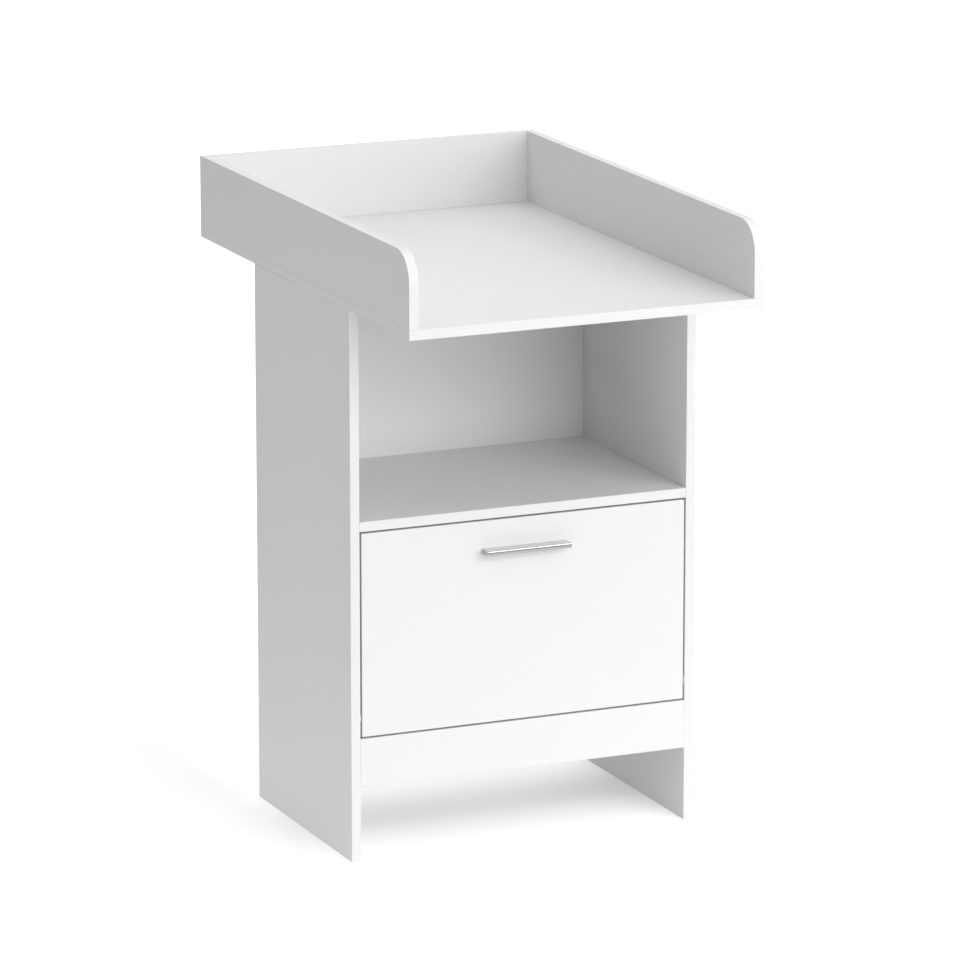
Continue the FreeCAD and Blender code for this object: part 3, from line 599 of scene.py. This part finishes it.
# ---------------- boards
EASE = 0.6 * MM          # rounding of a banded edge
CORNER = 0.9 * MM        # rounding of a board's corners
RAIL_ROUND = 50 * MM     # round of a side rail's upper front corner
SHEET_PLAY = 0.5 * MM    # room beside the back sheet in its step
PLAY = 0.12 * MM         # room round a sunk head
SCREW_HEAD = 3.2 * MM    # radius of a wood screw's head
JOINT_HEAD = 5.0 * MM    # radius of a furniture screw's head
CAM = 7.5 * MM           # radius of a cam housing
CAM_SEAT = 3.5 * MM      # depth of the seat round it


def holes_for(fixings, low, high, axis, depth, head=SCREW_HEAD):
    """Holes in the face of a piece that fills a box, one for the head of each fixing in it."""
    across = [(axis + 1) % 3, (axis + 2) % 3]
    found = []
    for one, two in solids(fixings):
        middle = ((one + two) / 2)[across]
        inside = (middle > low[across]).all() and (middle < high[across]).all()
        if inside and one[axis] < high[axis] and two[axis] > low[axis]:
            found.append((middle, head + PLAY, depth))
    return found


def board(node, thin_axis, fixings=None, head=0.0, depth=0.0, side=-1):
    """Flat board in the place of its node, rounded along all edges, with a hole for each of its
    fixings on one side."""
    low, high = box(node)
    holes = holes_for(fixings, low, high, thin_axis, depth, head) if fixings else ()
    shell = block(low, high, thin_axis, CORNER, EASE, holes=holes, sides=(side,))
    piece(node + "_board", shell, node, thin_axis)


def side_panel(side):
    """Side panel with the step for the back sheet: its floor plan carried upwards."""
    low, high = box("side_panel_right")
    sheet_low, sheet_high = box("back_panel")
    step = sheet_high[0] + SHEET_PLAY
    plan = [(low[0], low[1]), (high[0], low[1]), (high[0], high[1]), (step, high[1]),
            (step, sheet_low[1]), (low[0], sheet_low[1])]
    shell = slab(rounded(plan, CORNER), 2, low[2], high[2], EASE)
    shell = shell if side == "right" else mirror(shell)
    piece("side_panel_" + side + "_board", shell, "side_panel_" + side, 0)


def side_rail(side):
    """Side rail of the tray, with the large round at its upper front corner."""
    node = "tray_rail_" + side
    corners = [CORNER, CORNER, CORNER, RAIL_ROUND]
    piece(node + "_board", block(*box(node), 0, corners, EASE, steps=24), node, 0)


def back_sheet():
    """Thin sheet with plainly cut edges."""
    corner, ease = 0.5 * MM, 0.3 * MM
    piece("back_sheet", block(*box("back_panel"), 1, corner, ease), "back_panel")


for side in ("left", "right"):
    side_panel(side)
    side_rail(side)
board("tray_rail_back", 1)
board("changing_board", 2, "rail_screws", JOINT_HEAD, depth=2.5 * MM)
board("shelf", 2, "cam_housings", CAM, CAM_SEAT)
board("base_panel", 2, "cam_housings", CAM, CAM_SEAT)
board("plinth", 1, "cam_housings", CAM, CAM_SEAT, side=1)
board("flap_panel", 1)
back_sheet()


# ---------------- handle
def handle():
    """Hooked handle: the side view carried along X.  The front is upright above, leans back below
    and bows a little between.  The hollow under the plate is as high as the plate allows between
    the feet and runs out to nothing over each foot."""
    low, high = box("handle")
    front, back, bottom, top = low[1], high[1], low[2], high[2]
    lip, plate, foot, blend, rim = 4 * MM, 2.4 * MM, 15 * MM, 2 * MM, 0.6 * MM
    nose, chin, bow, hollow, sharp = 2.0 * MM, 2.6 * MM, 8 * MM, 0.8 * MM, 0.01 * MM
    upright, lean, thinnest = 4.4 * MM, 0.7 * MM, 0.02 * MM
    quarter = np.linspace(0, np.pi / 2, 5)
    bend = np.linspace(-blend, blend, 13) / 2
    along = np.concatenate([low[0] + rim * (1 - np.cos(quarter)), low[0] + foot + bend,
                            high[0] - foot + bend, high[0] - rim * (1 - np.sin(quarter))])
    pull = np.concatenate([rim * (1 - np.sin(quarter)), np.zeros(2 * len(bend)),
                           rim * (1 - np.cos(quarter))])
    open_share = soft_step((along - low[0] - foot) / blend + 0.5)
    open_share *= soft_step((high[0] - foot - along) / blend + 0.5)
    roof = bottom + np.maximum((top - plate - bottom) * open_share, thinnest)
    still = np.zeros_like(pull)
    y = [front + lean + pull, front + lip + still, front + lip + still, back + still, back + still,
         front + pull, front + pull]
    z = [bottom + pull, bottom + pull, roof + pull, roof + pull, top - pull, top - pull,
         top - upright + still]
    inner = np.minimum(hollow, 0.45 * (roof - bottom))
    bends = [chin + still, inner, inner, sharp + still, sharp + still, nose + still, bow + still]
    corners = np.stack([np.stack(y, axis=-1), np.stack(z, axis=-1)], axis=-1)
    section = rounded(corners, np.stack(bends, axis=-1), steps=10)[0]
    x = np.broadcast_to(along[:, None, None], section.shape[:2] + (1,))
    piece("handle_grip", grid(np.concatenate([x, section], axis=-1)), "handle")


handle()


# ---------------- screws, nails and cams
SINK = 0.1 * MM          # how far the part sinks the head of a wood screw
JOINT_SINK = 0.3 * MM    # and of a furniture screw
HANDLE_HEAD = 2.4 * MM   # height of a handle screw's head
NAIL_HEAD = 0.6 * MM     # height of a nail's head


def cross(x, y, arm, width):
    """1 inside a cross with soft walls, as the recess of a screw head."""
    bars = [soft_step((arm - abs(a)) / (0.25 * arm)) * soft_step((width - abs(b)) / (0.5 * width))
            for a, b in ((x, y), (y, x))]
    return np.maximum(*bars)


def hexagon(x, y, flat):
    """1 inside a hexagonal socket with steep walls; flat is half its width across flats."""
    angle = np.arange(3) * np.pi / 3
    across = np.abs(x[..., None] * np.cos(angle) + y[..., None] * np.sin(angle)).max(axis=-1)
    return soft_step((flat - across) / (0.15 * flat))


def fixing(body, head, recess, start, way, sides=36, rings=14):
    """Screw, nail or cam: a turned body whose head's face is pressed in by a recess.  Along the
    axis, which points into the wood, the face lies at its own height plus the recess at (x, y)."""
    middle = 0.03            # the face's innermost ring, as a share of its radius
    radius = np.linspace(middle, 1, rings, endpoint=False) * head
    radius = np.concatenate([radius[:, None], np.full((rings, 1), body[0][1])], axis=1)
    profile = np.concatenate([radius, rounded(body, 0.12 * MM, steps=2, closed=False)[0]])
    angle = np.arange(sides) / sides * 2 * np.pi
    x, y = profile[:, :1] * np.cos(angle), profile[:, :1] * np.sin(angle)
    depth = np.where(np.arange(len(profile))[:, None] < rings, recess(x, y), 0)
    points = np.stack([x, y, profile[:, 1:] + depth], axis=-1)
    return stand(grid(points), start, way)


def wood_screw(start, way, length=14 * MM):
    """Countersunk screw with a cross recess in its slightly domed face."""
    head, core = SCREW_HEAD, 1.7 * MM
    body = [(head - 0.15 * MM, 0), (head, 0.2 * MM), (core, head - core), (core, length - 4 * MM),
            (0.2 * MM, length)]

    def face(x, y):
        """Dome that falls off with the square of the distance from the middle, less the cross."""
        dome = -0.25 * MM * (1 - (x * x + y * y) / (head - 0.15 * MM) ** 2)
        return dome + 1.3 * MM * cross(x, y, 1.9 * MM, 0.45 * MM)

    return fixing(body, head - 0.15 * MM, face, start, way)


def short_screw(start, way):
    """Wood screw of the strike plates."""
    return wood_screw(start, way, 12 * MM)


def joint_screw(start, way):
    """Furniture screw with a hexagonal socket, flush with the board that it holds."""
    head, neck, core, length = JOINT_HEAD, 3.5 * MM, 2.5 * MM, 50 * MM
    body = [(head - 0.2 * MM, 0), (head, 0.25 * MM), (neck, 1.8 * MM), (neck, 15 * MM),
            (core, 16 * MM), (core, length - 4 * MM), (0.3 * MM, length)]
    return fixing(body, head - 0.2 * MM, lambda x, y: 2.5 * MM * hexagon(x, y, 2 * MM), start, way)


def handle_screw(start, way):
    """Machine screw with a low round head and a cross recess."""
    head, rise, shank, length = 4 * MM, HANDLE_HEAD, 1.95 * MM, 25 * MM
    body = [(head - 0.9 * MM, -rise), (head - 0.2 * MM, -rise + 0.7 * MM), (head, -0.3 * MM),
            (head, 0.0), (shank, 0.0), (shank, length - 1 * MM), (shank - 0.8 * MM, length)]
    return fixing(body, head - 0.9 * MM, lambda x, y: 1.6 * MM * cross(x, y, 2.2 * MM, 0.5 * MM),
                  start, way)


def nail(start, way):
    """Flat-headed nail with a slightly rounded head."""
    head, thick, shank, length = 1.6 * MM, NAIL_HEAD, 0.75 * MM, 18 * MM
    body = [(head - 0.3 * MM, -thick), (head, -thick / 2), (head, 0.0), (shank, 0.0),
            (shank, length - 2 * MM), (0.1 * MM, length)]
    return fixing(body, head - 0.3 * MM, lambda x, y: 0 * x, start, way, sides=20, rings=4)


def cam(start, way):
    """Cam housing with a raised rim and a cross for the driver in its face."""
    radius, depth = CAM, 12.5 * MM
    body = [(radius - 0.3 * MM, 0.1 * MM), (radius, 0.4 * MM), (radius, depth - 0.5 * MM),
            (radius - 0.5 * MM, depth)]

    def face(x, y):
        """Sunk disc inside the rim, with the driver's cross deeper still."""
        disc = soft_step((6.3 * MM - np.hypot(x, y)) / (0.5 * MM))
        return 0.7 * MM * disc + 2.2 * MM * cross(x, y, 3.6 * MM, 0.8 * MM)

    return fixing(body, radius - 0.3 * MM, face, start, way, sides=48, rings=26)


def end_face(low, high, axis, side, out=0.0):
    """Middle of a box's low (-1) or high (1) end along an axis, moved outwards."""
    middle = (low + high) / 2
    middle[axis] = (high if side > 0 else low)[axis] + side * out
    return middle


DOWN, UPWARDS, BACKWARDS = (2, -1), (2, 1), (1, 1)      # ways to face: axis and side


def away_from_panel(low, high):
    """The way that the base plates' screws face, to the middle of the cabinet."""
    return (0, -1) if low[0] > 0 else (0, 1)


def out_of_board(low, high):
    """The way that a cam faces: down in the level boards, and to the back in the plinth."""
    return DOWN if high[2] - low[2] < high[1] - low[1] else BACKWARDS


def row(name, node, maker, facing, out=0.0):
    """All the fixings of a node, each with its head at the end of its solid's box that it faces.
    They move outwards where sunk heads come up to the surface, and inwards (below 0) where heads
    are made from their underside."""
    made = []
    for low, high in solids(node):
        axis, side = facing(low, high) if callable(facing) else facing
        made.append(maker(end_face(low, high, axis, side, out), -side * np.eye(3)[axis]))
    piece(name, together(*made), node)


row("rail_screw_row", "rail_screws", joint_screw, DOWN, JOINT_SINK)
row("tray_screw_row", "tray_screws", joint_screw, UPWARDS, JOINT_SINK)
row("catch_screw_row", "catch_screws", wood_screw, DOWN, SINK)
row("strike_screw_row", "strike_screws", short_screw, BACKWARDS, SINK)
row("lug_screw_row", "stay_lug_screws", wood_screw, BACKWARDS, SINK)
row("handle_screw_pair", "handle_screws", handle_screw, BACKWARDS, -HANDLE_HEAD)
row("nail_row", "back_nails", nail, BACKWARDS, -NAIL_HEAD)
row("base_screw_row", "stay_base_screws", wood_screw, away_from_panel, SINK)
row("cam_row", "cam_housings", cam, out_of_board)


# ---------------- flap pins and bushes
def half_across(low, high):
    """Radius of a round piece that lies along X in a box."""
    return (high[1] - low[1]) / 2


def pivot_pins():
    """Steel pins in the flap's edges."""
    low, high = right_hand("pivot_pins")
    profile = peg(half_across(low, high), 0, high[0] - low[0], 0.5 * MM)
    pair("pin_pair", turned(profile, end_face(low, high, 0, -1), RIGHT), "pivot_pins")


def pivot_bushes():
    """Flanged bushes that the pins turn in."""
    low, high = right_hand("pivot_bushes")
    pin, flange = half_across(*right_hand("pivot_pins")), half_across(low, high)
    play, wall, thick, ease, length = 0.05 * MM, 2 * MM, 1.2 * MM, 0.3 * MM, high[0] - low[0]
    bore, outside = pin + play, pin + wall
    section = [(bore, 0), (flange, 0), (flange, thick), (outside, thick), (outside, length),
               (bore, length)]
    profile = rounded(section, ease, steps=3)[0]
    pair("bush_pair", turned(profile, end_face(low, high, 0, -1), RIGHT, hollow=True),
         "pivot_bushes")


pivot_pins()
pivot_bushes()


# ---------------- magnetic catches
def catch_housings():
    """Housings of the catches, with a screw wing at each end."""
    low, high = right_hand("catch_housings")
    wing, wing_thick, step, bottom = 8 * MM, 2.5 * MM, 2 * MM, 0.2 * MM
    body_corner, body_ease, wing_corner, wing_ease = 1.5 * MM, 0.6 * MM, 3 * MM, 0.4 * MM
    body = block(low + [wing, 0, 0], high - [wing, 0, 0], 2, body_corner, body_ease)
    wings_low = np.array([low[0], low[1] + step, high[2] - wing_thick])
    seats = holes_for("catch_screws", low, high, 2, wing_thick - bottom)
    wings = block(wings_low, high - [0, step, 0], 2, wing_corner, wing_ease, holes=seats)
    pair("catch_pair", together(body, wings), "catch_housings")


def catch_magnets():
    """Magnets, each between two pole plates that reach a little farther."""
    low, high = right_hand("catch_magnets")
    pole, side_step, front_step = 1.2 * MM, 0.4 * MM, 0.3 * MM
    corner, ease = 0.3 * MM, 0.15 * MM
    layers = [(low, high - [0, 0, high[2] - low[2] - pole]),
              (low + [side_step, front_step, pole], high - [side_step, 0, pole]),
              (low + [0, 0, high[2] - low[2] - pole], high)]
    magnet = together(*[block(*layer, 2, corner, ease) for layer in layers])
    pair("magnet_pair", magnet, "catch_magnets")


def strike_plates():
    """Steel plates on the flap that the magnets hold."""
    low, high = right_hand("strike_plates")
    corner, ease, seat = 2 * MM, 0.2 * MM, 1.1 * MM
    seats = holes_for("strike_screws", low, high, 1, seat)
    plate = block(low, high, 1, corner, ease, holes=seats, sides=(1,))
    pair("strike_pair", plate, "strike_plates")


catch_housings()
catch_magnets()
strike_plates()


# ---------------- brake stays
EYE = joint_place("stay_eye_right")
SWIVEL = joint_place("stay_swivel_right")
ALONG = (SWIVEL - EYE) / np.linalg.norm(SWIVEL - EYE)    # from the rod's eye to its guide
ACROSS = np.array([0, -ALONG[2], ALONG[1]])
ROD = 3 * MM             # radius of the rod
SHEET_METAL = 2 * MM     # thickness of base plates and brackets
SEAT = 1.8 * MM          # depth of the screw seats in them


def rods():
    """Rods, each with a ring-shaped eye; the rod starts inside the ring's wall."""
    _, far = reach("stay_rod_right", EYE, ALONG)
    low, high = box("stay_rod_right")
    bore, outside, half = 2.55 * MM, 6.5 * MM, (high[0] - low[0]) / 2
    root, ease = 4 * MM, 0.6 * MM
    shaft = peg(ROD, root, far + ease, ease)
    ring = rounded([(bore, -half), (outside, -half), (outside, half), (bore, half)], 0.5 * MM,
                   steps=3)[0]
    rod = together(turned(shaft, EYE, ALONG), turned(ring, EYE, RIGHT, hollow=True))
    both("rod", rod, "stay_rod")


def stop_nuts():
    """Six-sided nuts at the ends of the rods."""
    near, far = reach("stay_stop_right", EYE, ALONG)
    half_width, corner, ease = 5 * MM, 0.8 * MM, 0.5 * MM
    angle = np.pi / 3 * (np.arange(6) + 0.5)
    tip = half_width / np.cos(np.pi / 6)
    corners = np.stack([tip * np.cos(angle), tip * np.sin(angle)], axis=-1)
    nut = slab(rounded(corners, corner, steps=3), 2, near, far, ease)
    both("stop_nut", stand(nut, EYE, ALONG), "stay_stop")


def guides():
    """Square guide blocks, bored at both ends for the rod, each on its round hub."""
    high = box("stay_guide_right")[1]
    half, half_length, corner, ease = 7 * MM, 12 * MM, 2.2 * MM, 0.8 * MM
    play, bore_depth, hub_ease = 0.25 * MM, 2 * MM, 0.5 * MM
    square = [(-half, -half), (half, -half), (half, half), (-half, half)]
    body = slab(rounded(square, corner), 2, -half_length, half_length, ease,
                holes=[(np.zeros(2), ROD + play, bore_depth)], sides=(-1, 1))
    hub = turned(peg(half, 0, high[0] - SWIVEL[0], hub_ease), SWIVEL, RIGHT)
    both("guide", together(stand(body, SWIVEL, ALONG), hub), "stay_guide")


def brake_knobs():
    """Thumb screws with a straight slot in their rounded faces.  Eighteen flutes draw the rim in
    to 1 - 0.035 (1 + cos 18 a) of its radius at the angle a."""
    near, far = reach("brake_knob_right", SWIVEL, ACROSS)
    head, shank, thick, ease, length = 4.5 * MM, 2.5 * MM, 3.5 * MM, 0.5 * MM, far - near
    slot, wall, deep, flutes, draw = 0.5 * MM, 0.3 * MM, 0.9 * MM, 18, 0.035
    body = [(head - ease, 0), (head, ease), (head, thick), (shank, thick), (shank, length)]

    def face(x, y):
        """Slot along X with soft walls."""
        return deep * soft_step((slot + wall / 2 - abs(y)) / wall)

    points, faces = fixing(body, head - ease, face, np.zeros(3), UP, sides=72, rings=16)
    rim = soft_step((np.hypot(points[:, 0], points[:, 1]) - 0.85 * head) / (0.12 * head))
    angle = np.arctan2(points[:, 1], points[:, 0])
    points[:, :2] *= (1 - draw * rim * (1 + np.cos(flutes * angle)))[:, None]
    both("knob", stand((points, faces), SWIVEL + far * ACROSS, -ACROSS), "brake_knob")


def base_plates():
    """Plates on the side panels, each with the stud that a guide swivels on."""
    low, high = box("stay_base_right")
    inner, corner, ease = high[0] - SHEET_METAL, 5 * MM, 0.4 * MM
    stud_radius, stud_length = 3 * MM, 7 * MM
    seats = holes_for("stay_base_screws", low, high, 0, SEAT)
    plate = block([inner, *low[1:]], high, 0, corner, ease, holes=seats)
    root = [inner, *SWIVEL[1:]]
    stud = turned(peg(stud_radius, 0, stud_length, ease), root, -RIGHT)
    both("base_plate", together(plate, stud), "stay_base")


def brackets():
    """Brackets on the flap: an ear, round about the rod's eye, and a flange with screws."""
    low, high = box("stay_lug_right")
    tip = high[1] - EYE[1]
    angle = np.linspace(-np.pi / 2, np.pi / 2, 13)
    nose = np.stack([EYE[1] + tip * np.cos(angle), EYE[2] + tip * np.sin(angle)], axis=-1)
    corners = np.concatenate([nose, [(low[1], high[2]), (low[1], low[2])]])
    bend, corner, ease = 1.2 * MM, 0.6 * MM, 0.3 * MM
    radii = np.concatenate([np.full(len(nose), bend), [corner, corner]])
    ear = slab(rounded(corners, radii, steps=2), 0, low[0], low[0] + SHEET_METAL, ease)
    seats = holes_for("stay_lug_screws", low, high, 1, SEAT)
    flange_high = [high[0], low[1] + SHEET_METAL, high[2]]
    flange = block(low, flange_high, 1, [corner, corner, 3 * MM, 3 * MM], ease, holes=seats,
                   sides=(1,))
    both("bracket", together(ear, flange), "stay_lug")


def rivets():
    """Rivets through the rods' eyes, with a low bevelled head at each end."""
    low, high = right_hand("stay_pins")
    head, flat, shank, length = 4 * MM, 3.2 * MM, 2.5 * MM, high[0] - low[0]
    thick, bevel = 1.3 * MM, 1.04 * MM
    profile = rounded([(TIP, 0), (flat, 0), (head, bevel), (head, thick), (shank, thick),
                       (shank, length - thick), (head, length - thick), (head, length - bevel),
                       (flat, length), (TIP, length)], 0.1 * MM, steps=2, closed=False)[0]
    pair("rivet_pair", turned(profile, end_face(low, high, 0, -1), RIGHT), "stay_pins")


rods()
stop_nuts()
guides()
brake_knobs()
base_plates()
brackets()
rivets()


# ---------------- floor, light and camera
FLOOR_GLOW = 0.318       # light that the floor adds round the dresser's feet
FLOOR_TONE = 0.55        # tone of the floor that lights the dresser
SEEN_TONE = 0.92         # tone of the floor in the picture
STRIP_TONE = 0.10        # tone of the strip that the front of the handle mirrors
STRIP_Y = -2.9           # middle of that strip
AIM = Vector((0, 0, 0.55))  # middle of the dresser, which the lights point at


def light_path_mix(tree, seen, felt, output):
    """Camera rays meet the shader that is seen, and all other rays the one that lights."""
    mix = tree.nodes.new("ShaderNodeMixShader")
    path = tree.nodes.new("ShaderNodeLightPath")
    tree.links.new(path.outputs["Is Camera Ray"], mix.inputs[0])
    tree.links.new(felt.outputs[0], mix.inputs[1])
    tree.links.new(seen.outputs[0], mix.inputs[2])
    tree.links.new(mix.outputs[0], output)


def floor_finish():
    """Plain white that gets brighter far off, with a painted soft shadow between the side panels: its
    glow is lowered in a band under the dresser and raised in front of and behind it, painted shade
    and painted light rather than a cast shadow.  What lights the dresser is greyer and glows round
    its feet; a dark strip in front of the picture gives the metal its dark line."""
    finish = Finish("floor")
    felt, seen = finish.shader, finish.nodes.new("ShaderNodeBsdfPrincipled")
    for shader, tone in ((felt, FLOOR_TONE), (seen, SEEN_TONE)):
        shader.inputs["Base Color"].default_value = (tone, tone, tone, 1)
        shader.inputs["Roughness"].default_value = 1.0
        shader.inputs["Specular IOR Level"].default_value = 0.0
        shader.inputs["Emission Color"].default_value = (1, 1, 1, 1)
    length = finish.nodes.new("ShaderNodeVectorMath")
    length.operation = "LENGTH"
    finish.links.new(finish.place, length.inputs[0])
    from_middle = length.outputs["Value"]

    def off(axis, line):
        """Distance along an axis from a line on the floor."""
        return finish.math("ABSOLUTE", finish.math("SUBTRACT", finish.coordinate(axis), line))

    def fade(distance, start, end, near, far):
        """Value that goes smoothly from near to far between two distances in metres."""
        return finish.spread(distance, near, far, start, end, "SMOOTHSTEP")

    between_sides = fade(off("X", 0.0), 0.27, 0.36, 1.0, 0.0)
    # Painted shadow: between the side panels the floor's glow is lowered near y = 0.01 and raised farther off,
    # painted shade and painted light added to the glow.
    painted_shadow = finish.math("MULTIPLY", between_sides, fade(off("Y", 0.01), 0.0, 0.17, -0.05, 0.13))
    glow = finish.math("ADD", fade(from_middle, 1.0, 2.5, 0.20, 0.45), painted_shadow)
    finish.links.new(glow, seen.inputs["Emission Strength"])
    finish.wire(Emission_Strength=fade(from_middle, 0.5, 1.8, FLOOR_GLOW, 0.0),
                Base_Color=fade(off("Y", STRIP_Y), 1.1, 1.3, STRIP_TONE, FLOOR_TONE))
    surface = finish.nodes["Material Output"].inputs["Surface"]
    light_path_mix(finish.tree, seen, felt, surface)
    return finish.material


def floor():
    """Level floor that runs out past the picture."""
    edge = 60.0
    mesh = bpy.data.meshes.new("floor")
    mesh.from_pydata([(-edge, -edge, 0), (edge, -edge, 0), (edge, edge, 0), (-edge, edge, 0)], [],
                     [(0, 1, 2, 3)])
    mesh.materials.append(floor_finish())
    made = new_object("floor", mesh)


def area_light(name, turn, rise, distance, size, power):
    """Square soft light, turned to the right of the front and raised by angles in degrees.  The
    camera doesn't see it."""
    turn, rise = np.radians([turn, rise])
    way = Vector((np.sin(turn) * np.cos(rise), -np.cos(turn) * np.cos(rise), np.sin(rise)))
    data = bpy.data.lights.new(name, "AREA")
    data.shape = "SQUARE"
    data.size = size
    data.energy = power
    made = new_object(name, data)
    made.visible_camera = False
    made.location = AIM + distance * way
    made.rotation_euler = (-way).to_track_quat("-Z", "Y").to_euler()


def surroundings(strength):
    """White studio, lit from above: its light is strength times the square of the height of the
    direction it comes from."""
    world = bpy.data.worlds.new("studio")
    world.use_nodes = True
    tree = world.node_tree
    nodes, links = tree.nodes, tree.links
    felt, seen = nodes["Background"], nodes.new("ShaderNodeBackground")
    for shader in (felt, seen):
        shader.inputs["Color"].default_value = (1, 1, 1, 1)
    way = nodes.new("ShaderNodeVectorMath")
    way.operation = "NORMALIZE"
    apart = nodes.new("ShaderNodeSeparateXYZ")
    links.new(nodes.new("ShaderNodeTexCoord").outputs["Generated"], way.inputs[0])
    links.new(way.outputs[0], apart.inputs[0])
    height = math_node(tree, "MAXIMUM", apart.outputs["Z"], 0.0)
    square = math_node(tree, "MULTIPLY", height, height)
    links.new(math_node(tree, "MULTIPLY", square, strength), felt.inputs["Strength"])
    light_path_mix(tree, seen, felt, nodes["World Output"].inputs["Surface"])
    bpy.context.scene.world = world


def camera():
    """Camera at the photograph's point of view, tilted down and turned to the right."""
    tilt, turn = 13.771, 23.742
    data = bpy.data.cameras.new("camera")
    data.sensor_width = 36.0
    data.lens = 222.62
    data.clip_end = 200.0
    made = new_object("camera", data)
    made.location = (-3.7937, -8.6764, 2.8615)
    made.rotation_euler = np.radians([90 - tilt, 0, -turn])
    bpy.context.scene.camera = made


floor()
area_light("front_right", turn=20, rise=10, distance=5.0, size=5.0, power=279)
area_light("left_fill", turn=-80, rise=0, distance=5.0, size=2.6, power=58)
area_light("back_wall", turn=156, rise=18, distance=6.0, size=6.0, power=113)
surroundings(1.49)
camera()
bpy.context.scene.view_settings.view_transform = "Standard"
